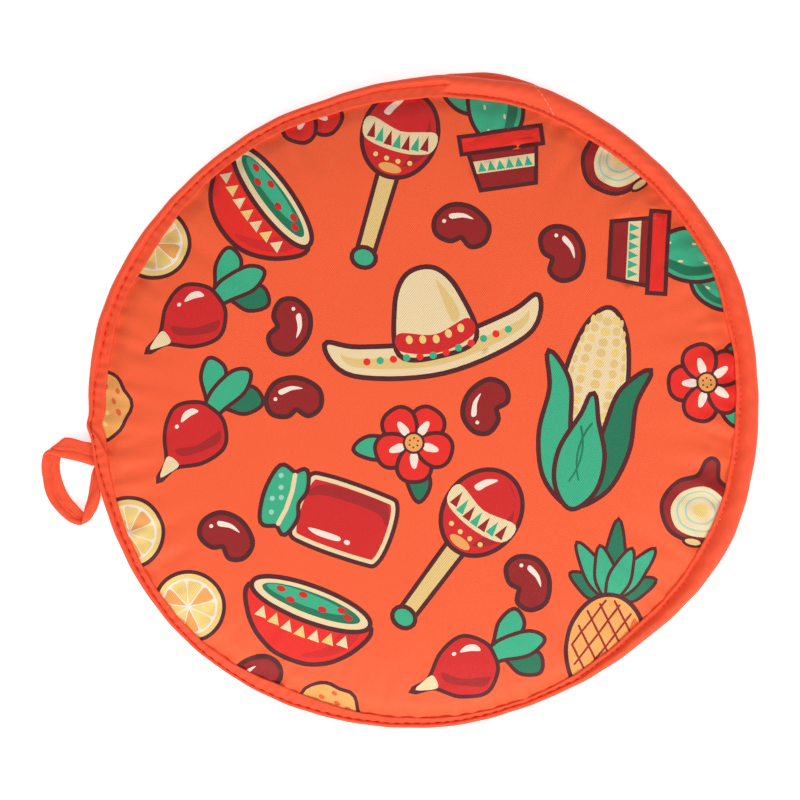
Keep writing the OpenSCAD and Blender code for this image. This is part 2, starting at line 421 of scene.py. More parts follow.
def stripes(tree, vector, turn, spacing):
    # 0 to 1 waves across lines that lie at a turn to the cloth, at a spacing in metres
    mapping = add(tree, "ShaderNodeMapping", {"Vector": vector, "Rotation": (0, 0, math.radians(turn))})
    x = add(tree, "ShaderNodeSeparateXYZ", {0: mapping.outputs[0]}).outputs[1]
    phase = add(tree, "ShaderNodeMath", {0: x, 1: 2 * math.pi / spacing}, operation="MULTIPLY").outputs[0]
    wave = add(tree, "ShaderNodeMath", {0: phase}, operation="SINE").outputs[0]
    return add(tree, "ShaderNodeMapRange", {0: wave, 1: -1, 2: 1, 3: 0, 4: 1}).outputs[0]


def shaded(tree, colour, factor, low, high):
    # the colour made darker and lighter by a pattern from 0 to 1
    scale = add(tree, "ShaderNodeMapRange", {0: factor, 1: 0, 2: 1, 3: low, 4: high}).outputs[0]
    return add(tree, "ShaderNodeVectorMath", {0: colour, "Scale": scale}, operation="SCALE").outputs[0]


twill = {
    "lineSpacing": 0.00082,   # printed twill: its lines, drawn 0.8 mm apart so that they show
    "lineTurn": -38,
    "yarnSpacing": 0.00045,
    "depth": 0.0001,
    "mottleSize": 0.028,
    "roughness": 0.6,
    "sheen": 0.08,
}


def printedTwill():
    # polyester twill, dye printed: fine slanted lines, whose colour is painted lighter along each line as the sheen of
    # the floats, and a soft satin that lightens the crests
    made, tree, shader = newMaterial("dye printed polyester twill")
    cloth = add(tree, "ShaderNodeUVMap", uv_map="cloth").outputs[0]
    ink = add(tree, "ShaderNodeAttribute", attribute_name="printColour").outputs["Color"]
    lines = stripes(tree, cloth, twill["lineTurn"], twill["lineSpacing"])
    yarn = stripes(tree, cloth, twill["lineTurn"] - 62, twill["yarnSpacing"])
    weave = add(tree, "ShaderNodeMath", {0: lines, 1: yarn}, operation="MULTIPLY").outputs[0]
    relief = add(tree, "ShaderNodeMath", {0: lines, 1: weave}, operation="ADD").outputs[0]
    slow = {"Vector": cloth, "Scale": 1 / twill["mottleSize"], "Detail": 3}
    mottle = add(tree, "ShaderNodeTexNoise", slow).outputs[0]
    # the twill lines darken and lighten the print's colour: a weave pattern, and painted sheen where the floats would
    # catch the light
    colour = shaded(tree, ink, lines, 0.85, 1.1)
    colour = shaded(tree, colour, mottle, 0.96, 1.04)
    tree.links.new(colour, shader.inputs["Base Color"])
    bumpNode = add(tree, "ShaderNodeBump", {"Height": relief, "Strength": 0.5, "Distance": twill["depth"]})
    tree.links.new(bumpNode.outputs[0], shader.inputs["Normal"])
    shader.inputs["Roughness"].default_value = twill["roughness"]
    shader.inputs["Sheen Weight"].default_value = twill["sheen"]
    shader.inputs["Sheen Roughness"].default_value = 0.4
    shader.inputs["Specular IOR Level"].default_value = 0.36
    return made


tapeCloth = {
    "colour": "#F25029",
    "threadSpacing": 0.0008,  # drawn coarser than its 0.3 mm yarns so that it shows
    "depth": 0.00006,
    "roughness": 0.65,
    "sheen": 0.08,
}


def biasTape():
    # poplin cut on the bias: both sets of yarns lie at 45 degrees to the rim, matt with a faint bloom
    made, tree, shader = newMaterial("polyester cotton poplin cut on the bias")
    run = add(tree, "ShaderNodeUVMap", uv_map="tape").outputs[0]
    warp = stripes(tree, run, 45, tapeCloth["threadSpacing"])
    weft = stripes(tree, run, -45, tapeCloth["threadSpacing"])
    weave = add(tree, "ShaderNodeMath", {0: warp, 1: weft}, operation="MULTIPLY").outputs[0]
    slub = add(tree, "ShaderNodeTexNoise", {"Vector": run, "Scale": 95, "Detail": 3}).outputs[0]
    base = add(tree, "ShaderNodeRGB").outputs[0]
    base.default_value = linear(tapeCloth["colour"])
    colour = shaded(tree, base, weave, 0.95, 1.035)
    colour = shaded(tree, colour, slub, 0.94, 1.05)
    tree.links.new(colour, shader.inputs["Base Color"])
    bumpNode = add(tree, "ShaderNodeBump", {"Height": weave, "Strength": 0.45, "Distance": tapeCloth["depth"]})
    tree.links.new(bumpNode.outputs[0], shader.inputs["Normal"])
    shader.inputs["Roughness"].default_value = tapeCloth["roughness"]
    shader.inputs["Sheen Weight"].default_value = tapeCloth["sheen"]
    shader.inputs["Sheen Roughness"].default_value = 0.45
    shader.inputs["Specular IOR Level"].default_value = 0.36
    return made


def sewingThread(name, colour):
    # spun polyester thread: two plies twisted, with short slanted dashes painted lighter and darker in its colour as
    # the light the twist would catch
    made, tree, shader = newMaterial(name)
    place = add(tree, "ShaderNodeTexCoord").outputs["Object"]
    twist = stripes(tree, place, 35, 0.0005)
    base = add(tree, "ShaderNodeRGB").outputs[0]
    base.default_value = linear(colour)
    tree.links.new(shaded(tree, base, twist, 0.85, 1.08), shader.inputs["Base Color"])
    shader.inputs["Roughness"].default_value = 0.7
    shader.inputs["Specular IOR Level"].default_value = 0.3
    return made


def liningCloth():
    # plain woven polyester lining: a fine even grid, a little shinier than the tape
    made, tree, shader = newMaterial("plain woven polyester lining")
    place = add(tree, "ShaderNodeTexCoord").outputs["Object"]
    warp = stripes(tree, place, 10, 0.00055)
    weft = stripes(tree, place, 100, 0.00055)
    weave = add(tree, "ShaderNodeMath", {0: warp, 1: weft}, operation="MULTIPLY").outputs[0]
    patch = add(tree, "ShaderNodeTexNoise", {"Vector": place, "Scale": 40, "Detail": 3}).outputs[0]
    base = add(tree, "ShaderNodeRGB").outputs[0]
    base.default_value = linear("#E8481E")
    colour = shaded(tree, base, weave, 0.93, 1.03)
    colour = shaded(tree, colour, patch, 0.95, 1.05)
    tree.links.new(colour, shader.inputs["Base Color"])
    bumpNode = add(tree, "ShaderNodeBump", {"Height": weave, "Strength": 0.4, "Distance": 0.00006})
    tree.links.new(bumpNode.outputs[0], shader.inputs["Normal"])
    shader.inputs["Roughness"].default_value = 0.6
    shader.inputs["Sheen Weight"].default_value = 0.2
    return made


def needledBatting():
    # needled polyester batting: white crimped fibres with no shine at all
    made, tree, shader = newMaterial("needled polyester batting")
    place = add(tree, "ShaderNodeTexCoord").outputs["Object"]
    crimp = {"Vector": place, "Scale": 900, "Detail": 5, "Distortion": 2.5}
    fibres = add(tree, "ShaderNodeTexNoise", crimp).outputs[0]
    base = add(tree, "ShaderNodeRGB").outputs[0]
    base.default_value = linear("#F2EFE6")
    tree.links.new(shaded(tree, base, fibres, 0.8, 1.08), shader.inputs["Base Color"])
    bumpNode = add(tree, "ShaderNodeBump", {"Height": fibres, "Strength": 0.8, "Distance": 0.0006})
    tree.links.new(bumpNode.outputs[0], shader.inputs["Normal"])
    shader.inputs["Roughness"].default_value = 1.0
    return made


twillMaterial = printedTwill()
tapeMaterial = biasTape()
# the seam thread: a darker orange red than the tape, its own colour darkened further as painted shade of the pits it
# sinks into
threadMaterial = sewingThread("spun polyester thread, orange red", "#C6361A")
# pale thread for the join seam and for knots at needle holes: partly the pale under thread, partly painted glints
# where the thread crosses
paleThreadAndGlintMaterial = sewingThread("spun polyester thread, pale where it loops", "#F9A488")
# the loop's thread: a paler orange than the tape, painted so that its stitches show as lit bumps
loopThreadMaterial = sewingThread("spun polyester thread, lit orange", "#EA5C38")
liningMaterial = liningCloth()
battingMaterial = needledBatting()
print("materials ready")

# the pads' cloth is puffed by a cloth simulation, and what it does is kept as a field of shifts
puff = {
    "gridPoints": 78,
    "frames": 20,
    "pressure": 3.0,
    "slack": -0.028,      # extra cloth near the rim
    "slackRing": 0.30,    # share of the radius over which the slack fades out
    "cap": 3.2,           # mm that a point may move
}


def discFromSquare(u, v):
    return u * np.sqrt(1 - v * v / 2), v * np.sqrt(1 - u * u / 2)


def squareFromDisc(x, y):
    r = np.sqrt(8.0)

    def half(p, q):
        wide = np.sqrt(np.clip(2 + p * p - q * q + r * p, 0, None))
        return 0.5 * (wide - np.sqrt(np.clip(2 + p * p - q * q - r * p, 0, None)))

    return np.clip(half(x, y), -1, 1), np.clip(half(y, x), -1, 1)


def puffedField():
    # returns the shift of the front cloth at each grid point, in mm
    size = puff["gridPoints"]
    v, u = np.meshgrid(np.linspace(-1, 1, size), np.linspace(-1, 1, size))
    x, y = discFromSquare(u, v)
    a, q = np.arctan2(y, x), np.hypot(x, y)
    r = q * innerEdge(a)
    top = np.stack([r * np.cos(a), r * np.sin(a), frontHigh(q)], -1).reshape(-1, 3)
    under = np.stack([r * np.cos(a), r * np.sin(a), frontLow(q)], -1).reshape(-1, 3)
    index = np.arange(size * size).reshape(size, size)
    quads = np.stack([index[:-1, :-1], index[1:, :-1], index[1:, 1:], index[:-1, 1:]], -1).reshape(-1, 4)
    ring = np.concatenate([index[0, :-1], index[:-1, -1], index[-1, :0:-1], index[:0:-1, 0]])
    after = np.roll(ring, -1)
    more = size * size
    sides = np.stack([ring, after, after + more, ring + more], -1)
    faces = np.concatenate([quads, quads[:, ::-1] + more, sides])
    pad = outward(makePiece("puffing", np.concatenate([top, under]), faces, None))
    held = pad.vertex_groups.new(name="held")
    held.add([int(n) for n in range(more, 2 * more)] + [int(n) for n in ring], 1.0, "REPLACE")
    slackGroup = pad.vertex_groups.new(name="slack")
    weight = smooth((q.ravel() - 1 + puff["slackRing"]) / puff["slackRing"])
    for n in range(more):
        if weight[n] > 0.001:
            slackGroup.add([n], float(weight[n]), "REPLACE")
    clothModifier = pad.modifiers.new("puff", "CLOTH")
    settings = clothModifier.settings
    settings.quality = 6
    settings.mass = 0.2
    settings.tension_stiffness = settings.compression_stiffness = 20
    settings.shear_stiffness = 8
    settings.bending_stiffness = 0.02
    settings.vertex_group_mass = "held"
    settings.pin_stiffness = 1
    settings.vertex_group_shrink = "slack"
    settings.shrink_min, settings.shrink_max = -0.004, puff["slack"]
    settings.use_pressure = True
    settings.uniform_pressure_force = puff["pressure"]
    settings.effector_weights.gravity = 0
    clothModifier.collision_settings.use_collision = False
    clothModifier.collision_settings.use_self_collision = False
    scene = bpy.context.scene
    clothModifier.point_cache.frame_start, clothModifier.point_cache.frame_end = 1, puff["frames"]
    for step in range(1, puff["frames"] + 1):
        scene.frame_set(step)
    evaluated = pad.evaluated_get(bpy.context.evaluated_depsgraph_get())
    co = np.zeros(len(evaluated.data.vertices) * 3)
    evaluated.data.vertices.foreach_get("co", co)
    shift = co.reshape(-1, 3)[:more] / mm - top
    far = np.linalg.norm(shift, axis=1, keepdims=True)
    shift = shift * (puff["cap"] * np.tanh(far / puff["cap"]) / np.maximum(far, 1e-6))
    scene.frame_set(1)
    bpy.data.objects.remove(pad)
    print("cloth puffed: most", round(float(far.max()), 2), "mm, mean", round(float(far.mean()), 2))
    return shift.reshape(size, size, 3)


puffShift = puffedField()


def clothShift(q, a):
    # smooth sample of the puffed field, with a cubic through the grid's points
    size = puff["gridPoints"]
    q = np.clip(q, 0, 1)
    u, v = squareFromDisc(q * np.cos(a), q * np.sin(a))
    gu, gv = (u + 1) / 2 * (size - 1), (v + 1) / 2 * (size - 1)
    iu, iv = np.clip(np.floor(gu).astype(int), 0, size - 2), np.clip(np.floor(gv).astype(int), 0, size - 2)
    fu, fv = gu - iu, gv - iv

    def weights(t):
        return [((2 - t) * t - 1) * t / 2, ((3 * t - 5) * t * t + 2) / 2, ((4 - 3 * t) * t + 1) * t / 2, (t - 1) * t * t / 2]

    wu, wv = weights(fu), weights(fv)
    total = np.zeros(np.shape(q) + (3,))
    for m in range(4):
        for n in range(4):
            cell = puffShift[np.clip(iu + m - 1, 0, size - 1), np.clip(iv + n - 1, 0, size - 1)]
            total = total + cell * (wu[m] * wv[n])[..., None]
    return total


# creases and puckers that the photograph shows, near the binding
gathers = {
    "reach": 13,                      # mm in from the binding over which the gathers fade
    "waves": [(8.5, 0.24), (12.3, 0.28), (17.9, 0.3), (27, 0.26)],
    "puckers": [(190, 13, 1.9, 2.8), (98, 13, 1.2, 2.6), (-20, 18, 1.1, 3.0), (-130, 14, 1.3, 2.6),
                (-32, 13, 0.8, 2.6), (-8, 12, 0.7, 2.4), (14, 11, 0.6, 2.4), (141, 10, 0.6, 2.2),
                (-98, 11, 0.6, 2.4), (-62, 12, 0.7, 2.6), (52, 10, 0.5, 2.4), (-1, 42, 0.8, 5.0),
                (-25, 34, 0.7, 4.6), (-47, 30, 0.6, 4.2), (24, 34, 0.7, 5.0), (43, 28, 0.6, 4.4),
                (-112, 30, 0.5, 4.6), (122, 26, 0.5, 4.4)],  # angle, length, depth, width
}


def gatherRise(r, a, edge, seed):
    inFrom = np.clip(edge - r, 0, None)
    along = a * rimRadius
    fade = np.exp(-inFrom / gathers["reach"]) * smooth((inFrom + 1.5) / 3.5)
    h = fade * ripple(along, inFrom, seed, gathers["waves"], 0.35)
    for angle, length, depth, width in gathers["puckers"]:
        off = np.radians(np.mod(np.degrees(a) - angle + 180, 360) - 180) * edge
        off = off + 0.25 * inFrom * (1 if angle % 2 else -1)
        near = smooth(1 - inFrom / length)
        h = h + near * depth * (0.7 * bump(off, width * 1.7, width) - bump(off, 0, width * 0.7))
    return h


def pillow(inFrom, a):
    # the pad swells quickly just inside its seam, most where it is sewn down
    return (1.9 + 1.3 * closedShare(a)) * smooth(inFrom / 8) * np.exp(-(inFrom / 48) ** 2)


def heldOver(z, least):
    # a dimple goes no deeper than the cloth under it allows
    return least + np.logaddexp(0, 4 * (z - least)) / 4


def frontCoverPoints(x, y):
    # the printed cloth's upper face, flat place to place in space, before the lip is turned up
    r, a = np.hypot(x, y), np.arctan2(y, x)
    edge, inner = frontEdge(a), innerEdge(a)
    q = r / inner
    tight = pouch["pinchedThickness"] / 2 - clothUnderBand(a, bandWidth(a))
    z = frontHigh(q) + pillow(inner - r, a) + gatherRise(r, a, inner, 21) - tight * np.exp(-np.clip(inner - r, 0, None) / 4)
    z = heldOver(z, frontLow(q) - 0.5 * gatherRise(r, a, inner, 33) + 1.0)
    shift = clothShift(q, a)
    under = smooth((r - inner + 0.5) / 1.1)[..., None]
    free = np.stack([x + shift[..., 0], y + shift[..., 1], z + shift[..., 2]], -1)
    gripped = np.stack([x, y, frontMiddle + clothUnderBand(a, np.clip(edge - r, 0, None))], -1)
    return free * (1 - under) + gripped * under


def frontLiningPoints(x, y):
    r, a = np.hypot(x, y), np.arctan2(y, x)
    inner = innerEdge(a)
    q = r / inner
    z = frontLow(q) - 0.5 * gatherRise(r, a, inner, 33)
    under = smooth((r - inner + 0.5) / 1.1)
    gripped = frontMiddle - liningUnderBand(a, np.clip(frontEdge(a) - r, 0, None))
    return np.stack([x, y, z * (1 - under) + gripped * under], -1)


def backCoverHeight(r, a, inner):
    q = r / inner
    return np.maximum(backLow(q) - gatherRise(r, a, inner, 41) * smooth((q - 0.86) / 0.1), 0.02)


def backCoverPoints(x, y):
    r, a = np.hypot(x, y), np.arctan2(y, x)
    inner = backInnerEdge(a)
    z = backCoverHeight(r, a, inner)
    under = smooth((r - inner + 0.5) / 1.1)
    gripped = backMiddle - pouch["pinchedThickness"] / 2 * np.ones_like(x)
    return np.stack([x, y, z * (1 - under) + gripped * under], -1)


def backLiningPoints(x, y):
    r, a = np.hypot(x, y), np.arctan2(y, x)
    inner = backInnerEdge(a)
    q = r / inner
    z = heldOver(backHigh(q) + 0.6 * gatherRise(r, a, inner, 52), backCoverHeight(r, a, inner) + 1.1)
    under = smooth((r - inner + 0.5) / 1.1)
    gripped = backMiddle + pouch["pinchedThickness"] / 2 * np.ones_like(x)
    return np.stack([x, y, z * (1 - under) + gripped * under], -1)


# print: flat shapes in mm, each a closed run of points with a colour, laid one over another
inks = {
    "ground": "#F35A2B", "line": "#500D12", "cream": "#E9CFA1", "toast": "#E0BC78", "green": "#33A97E",
    "deepGreen": "#12704F", "red": "#CE1616", "tomato": "#E61E10", "olive": "#C4AF55", "brownRed": "#930E0E",
    "yellow": "#E8C776", "gold": "#E99F53", "light": "#F3DCCB", "orange": "#E05A22", "pale": "#9ACBB7",
    "deepRed": "#A31214",
}
lineWidth = 2.3


def closedCurve(points, steps=7):
    p = np.array(points, float)
    t = (np.arange(steps) / steps)[None, :, None]
    a, b, c, d = (np.roll(p, k, axis=0)[:, None, :] for k in (1, 0, -1, -2))
    run = b + t * ((c - a) / 2 + t * (a - 2.5 * b + 2 * c - d / 2 + t * (1.5 * (b - c) + (d - a) / 2)))
    return run.reshape(-1, 2)


def turned(points, degrees, x=0, y=0):
    c, s = math.cos(math.radians(degrees)), math.sin(math.radians(degrees))
    return np.array(points, float) @ np.array([[c, s], [-s, c]]) + (x, y)


def oval(x, y, width, height, turn=0, steps=None):
    steps = steps or max(10, int((width + height) * 0.9))
    t = np.arange(steps) * 2 * np.pi / steps
    return turned(np.stack([np.cos(t) * width / 2, np.sin(t) * height / 2], -1), turn, x, y)


def stroke(points, startWidth, endWidth=None):
    # a line drawn with a round pen whose width changes along it
    p = np.array(points, float)
    endWidth = startWidth if endWidth is None else endWidth
    half = np.linspace(startWidth, endWidth, len(p))[:, None] / 2
    along = np.gradient(p, axis=0)
    along = along / np.linalg.norm(along, axis=1, keepdims=True)
    side = np.stack([-along[:, 1], along[:, 0]], -1)
    def cap(at, direction, radius):
        turns = np.radians([60, 30, 0, -30, -60])[:, None]
        across = np.array([-direction[1], direction[0]])
        return at + radius * (np.cos(turns) * direction + np.sin(turns) * across)
    return np.concatenate([p + side * half, cap(p[-1], along[-1], half[-1, 0]), (p - side * half)[::-1],
                           cap(p[0], -along[0], half[0, 0])])


def arcLine(x, y, radius, start, end, count=8):
    t = np.radians(np.linspace(start, end, count))
    return np.stack([x + radius * np.cos(t), y + radius * np.sin(t)], -1)


def grown(points, by):
    p = np.array(points, float)
    area = np.sum(p[:, 0] * np.roll(p[:, 1], -1) - np.roll(p[:, 0], -1) * p[:, 1])
    before, after = p - np.roll(p, 1, axis=0), np.roll(p, -1, axis=0) - p
    normals = [np.stack([e[:, 1], -e[:, 0]], -1) / np.maximum(np.linalg.norm(e, axis=1, keepdims=True), 1e-9) for e in (before, after)]
    middle = normals[0] + normals[1]
    length = np.maximum(np.linalg.norm(middle, axis=1, keepdims=True), 0.9)
    return p + middle / length ** 2 * 2 * by * (1 if area > 0 else -1)


def part(points, colour, line=lineWidth):
    return [(grown(points, line), "line"), (np.array(points, float), colour)]


def mirrored(points):
    return [(-x, y) for x, y in points]


def sombrero():
    brim = closedCurve([(-49, 2), (-40, -13), (0, -21), (40, -13), (49, 2), (35, -3), (0, -8), (-35, -3)])
    trim = closedCurve([(-44, -3), (-37, -11), (0, -18), (37, -11), (44, -3), (36, -7), (0, -13), (-36, -7)])
    crown = closedCurve([(-17, -9), (-14, 12), (-8, 23), (0, 26), (8, 23), (14, 12), (17, -9), (0, -13)])
    band = closedCurve([(-17, -8), (-16, 0), (0, -4), (16, 0), (17, -8), (0, -12.5)])
    shapes = part(brim, "cream") + [(trim, "toast")] + part(crown, "cream") + [(band, "red")]
    shapes += [(oval(x, -13.5 + abs(x) * 0.13, 3.4, 3.4), "green" if n % 2 else "tomato") for n, x in enumerate(range(-33, 34, 6))]
    shapes += [(closedCurve([(6, 20), (11, 11), (13, 2), (9, 0), (7, 10)]), "toast")]
    shapes += [(oval(x, -6.2 + abs(x) * 0.2, 3.2, 4), "yellow") for x in (-12, -6, 0, 6, 12)]
    return shapes


def cornCob():
    cob = closedCurve([(0, 46), (9, 36), (14, 14), (14, -14), (7, -32), (-7, -32), (-14, -14), (-14, 14), (-9, 36)])
    shapes = part(cob, "cream")
    for row in range(14):
        y = -26 + row * 5.1
        half = 13.2 * math.sqrt(max(0.05, 1 - (max(y - 8, 0) / 39) ** 2))
        for column in range(-2, 3):
            x = half * math.sin(column * 0.6)
            colour = "toast" if (row * 2 + column) % 3 else "yellow"
            shapes.append((oval(x, y + (column % 2) * 1.2, 4.7 * math.cos(column * 0.55), 4.2, 0, 12), colour))
    leaf = [(-2, -48), (-15, -38), (-21, -18), (-20, 4), (-24, 20), (-13, 8), (-9, -12), (-5, -30)]
    shapes += part(closedCurve(leaf), "green") + part(closedCurve(mirrored(leaf)), "deepGreen")
    front = [(0, -50), (-9, -40), (-10, -24), (-3, -6), (0, 4), (4, -8), (10, -24), (9, -40)]
    shapes += part(closedCurve(front), "green")
    shapes += [(stroke(arcLine(28, -24, 30, 150, 205), 1.1, 0.8), "deepGreen"), (stroke(arcLine(-30, -24, 30, 25, -28), 1.1, 0.8), "deepGreen")]
    return shapes


def cactusPot():
    shapes = []
    for x, y, w, h, turn in ((-16, 17, 18, 27, 28), (17, 20, 19, 29, -26), (0, 6, 27, 40, 0), (3, 31, 15, 19, -10)):
        shapes += part(oval(x, y, w, h, turn), "green")
        shapes.append((closedCurve(turned([(w * 0.42, -h * 0.1), (w * 0.2, -h * 0.42), (w * 0.05, -h * 0.45), (w * 0.24, 0), (w * 0.1, h * 0.42), (w * 0.34, h * 0.26)], turn, x, y)), "deepGreen"))
        for n in range(5):
            sx, sy = (n % 2 - 0.6) * w * 0.36, (n - 2) * h * 0.17
            shapes.append((turned(oval(sx, sy, 1.3, 3.0), turn, x, y), "cream"))
    shapes += part(oval(4, 42, 7, 7), "tomato")
    pot = [(-14, -38), (14, -38), (18, -14), (-18, -14)]
    shapes += part(pot, "brownRed") + part([(-21, -17), (21, -17), (21, -9.5), (-21, -9.5)], "tomato")
    shapes.append(([(-15.6, -30), (15.6, -30), (16.6, -23), (-16.6, -23)], "cream"))
    for n in range(6):
        x = -12.5 + n * 5
        shapes.append(([(x - 2.3, -29.2), (x + 2.3, -29.2), (x, -23.8)], "green"))
    return shapes


def citrusWheel():
    shapes = part(oval(0, 0, 39, 38), "yellow") + [(oval(0, 0, 33.5, 32.5), "light")]
    for n in range(9):
        wedge = [(2.2, -0.3), (13.6, -4.2), (15, 0), (13.6, 4.2), (2.2, 0.3)]
        shapes.append((turned(closedCurve(wedge, 4), n * 40), "gold" if n % 3 == 0 else "yellow"))
    return shapes


def radish():
    body = closedCurve([(0, -33), (2.5, -22), (13, -10), (17, 4), (9, 14), (0, 16), (-9, 14), (-17, 4), (-13, -10), (-2.5, -22)])
    leaf = [(0, 12), (-6, 20), (-16, 28), (-19, 38), (-10, 39), (-4, 30)]
    shapes = part(closedCurve(leaf), "green") + part(closedCurve([(0, 13), (4, 22), (15, 27), (19, 37), (10, 40), (3, 31)]), "deepGreen")
    shapes += part(closedCurve([(-2, 12), (-6, 24), (-4, 40), (3, 46), (7, 36), (4, 22), (2, 12)]), "green")
    shapes += part(body, "red")
    shapes += [(closedCurve([(-2, -29), (0, -32), (2, -28), (4, -20), (-4, -20)]), "cream"),
               (closedCurve([(14, 4), (8, -8), (2, -15), (-3, -14), (5, -5), (9, 6), (11, 10)]), "deepRed"),
               (closedCurve([(-12, 5), (-10, 10), (-6, 11), (-8, 6), (-10, 0)]), "light"), (oval(-10.5, -3.5, 2.2, 2.6), "light")]
    return shapes


def garlicBulb():
    bulb = closedCurve([(0, -16), (10, -15), (17, -6), (14, 5), (5, 12), (3, 22), (-3, 22), (-5, 12), (-14, 5), (-17, -6), (-10, -15)])
    shapes = part(bulb, "cream")
    shapes += [(stroke(arcLine(14, -3, 17, 140, 218), 1.3, 0.8), "toast"), (stroke(arcLine(-14, -3, 17, 40, -38), 1.3, 0.8), "toast"),
               (closedCurve([(8, -12), (14, -5), (11, 3), (12, -6), (7, -13)]), "toast"), (oval(0, -14.5, 9, 3), "brownRed")]
    return shapes


def flower():
    shapes = part(closedCurve([(-8, -6), (-22, -12), (-25, -22), (-14, -20), (-5, -12)]), "green")
    shapes += part(closedCurve([(8, -6), (20, -14), (21, -25), (11, -20), (4, -12)]), "deepGreen")
    petal = [(0, 2), (6.2, 7), (8.6, 15), (4.5, 20.5), (-4.5, 20.5), (-8.6, 15), (-6.2, 7)]
    for n in range(5):
        shapes += part(turned(closedCurve(petal, 5), n * 72), "tomato")
    for n in range(5):
        shapes.append((turned(closedCurve([(0, 5), (2.4, 8), (1.2, 14), (-1.2, 14), (-2.4, 8)], 4), n * 72), "light"))
    return shapes + part(oval(0, 0, 10, 10), "gold", 1.3) + [(turned(oval(2.6, 0, 1.2, 1.2), n * 60), "brownRed") for n in range(6)]


def bean():
    shapes = part(closedCurve([(-11, 2), (-6, 8), (3, 8.5), (11, 3), (11, -4), (6, -7), (1, -3.5), (-4, -6), (-10, -4)]), "brownRed")
    return shapes + [(closedCurve([(-6, 5), (0, 6.3), (5, 4.5), (0, 4.4), (-5, 3)]), "light"), (oval(-8, 1.4, 1.8, 1.8), "light")]


def sprig():
    stem = [(0, -24), (1.5, -14), (1, -4), (-1, 6), (0, 14)]
    shapes = part(stroke(stem, 2.2, 1.4), "deepGreen", 1.5)
    for x, y, turn, size in ((-9, -6, 62, 0.8), (10, -9, -58, 0.8), (-10, 8, 42, 0.9), (10, 6, -44, 0.9), (0, 17, 0, 1.15)):
        leaf = np.array(closedCurve([(0, -8), (6, -5), (4.6, -1), (8, 3), (3.6, 5), (0, 10), (-3.6, 5), (-8, 3), (-4.6, -1), (-6, -5)], 5)) * size
        shapes += part(turned(leaf, turn, x, y), "green", 1.7)
        shapes.append((turned(stroke([(0, -6 * size), (0, 0), (0, 6 * size)], 1.2, 0.6), turn, x, y), "deepGreen"))
    return shapes


def maraca():
    shapes = part(stroke([(0, 4), (0, -18), (0, -40)], 8, 6.5), "toast")
    shapes += part(oval(0, -42, 10, 8), "green") + part(oval(0, 24, 36, 44), "red")
    shapes.append((closedCurve([(15, 30), (9, 40), (3, 44), (12, 36), (11, 22), (6, 8), (14, 14), (17, 22)]), "deepRed"))
    shapes.append((closedCurve([(-17.2, 18), (0, 14.5), (17.2, 18), (17.6, 29), (0, 25.5), (-17.6, 29)], 5), "cream"))
    for n in range(7):
        x = -14 + n * 4.7
        y = 16.5 + (x / 17) ** 2 * 3.2
        shapes.append(([(x - 2.2, y), (x + 2.2, y), (x, y + 8)], "green" if n % 2 else "brownRed"))
    shapes += [(closedCurve([(-11, 33), (-8, 39), (-3, 42), (-6, 36), (-8, 32)]), "light"), (oval(0, 5.5, 12, 5), "gold")]
    shapes += [(oval(x, 9.5 + abs(x) * 0.12, 2.6, 2.6), "yellow") for x in (-9, -3, 3, 9)]
    return shapes


def halfOnion():
    skin = closedCurve([(0, -18), (13, -15), (20, -3), (15, 9), (5, 15), (2, 24), (-2, 24), (-5, 15), (-15, 9), (-20, -3), (-13, -15)])
    shapes = part(skin, "brownRed")
    for size, colour in ((0.88, "cream"), (0.72, "pale"), (0.66, "cream"), (0.48, "pale"), (0.42, "cream"), (0.22, "yellow")):
        shapes.append((np.array(closedCurve([(0, -17), (12, -14), (18, -3), (13, 8), (0, 14), (-13, 8), (-18, -3), (-12, -14)])) * size + (0, -1.5), colour))
    return shapes + part(oval(0, -19.5, 9, 3.4), "toast", 1.4)


def flatbread():
    t = np.arange(40) * 2 * np.pi / 40
    r = 21 + 0.9 * np.sin(5 * t) + 0.6 * np.sin(8 * t + 1)
    shapes = part(np.stack([r * np.cos(t), 0.94 * r * np.sin(t)], -1), "gold")
    draw = random.Random(4)
    for n in range(15):
        a, far = n * 2.4, 4.2 * math.sqrt(n + 0.5)
        colour = "yellow" if n % 5 == 3 else "orange"
        shapes.append((oval(far * math.cos(a), far * math.sin(a), draw.uniform(2.6, 5), draw.uniform(2.4, 3.8), draw.uniform(0, 90), 12), colour))
    return shapes


def salsaBowl():
    bowl = closedCurve([(-29, 4), (-26, -9), (-14, -20), (0, -23), (14, -20), (26, -9), (29, 4), (0, 0)])
    shapes = part(bowl, "tomato")
    shapes.append((closedCurve([(27, 2), (24, -9), (13, -18), (4, -20), (14, -12), (19, -2)]), "red"))
    for n in range(7):
        x = -21 + n * 7
        y = -6 - 2.6 * math.cos(x / 14)
        shapes.append(([(x - 3, y - 3), (x + 3, y - 3), (x, y + 2.6)], "yellow" if n % 2 else "cream"))
    shapes += part(oval(0, 5, 58, 15), "cream") + [(oval(0, 5.4, 50, 10.5), "deepGreen"), (oval(-3, 6.4, 40, 6.4), "green")]
    shapes += [(oval(x, 6 + y, 4.6, 3), "red") for x, y in ((-16, 1), (-5, 2), (6, -1.5), (15, 1.2), (-10, -2.4), (19, -1))]
    return shapes


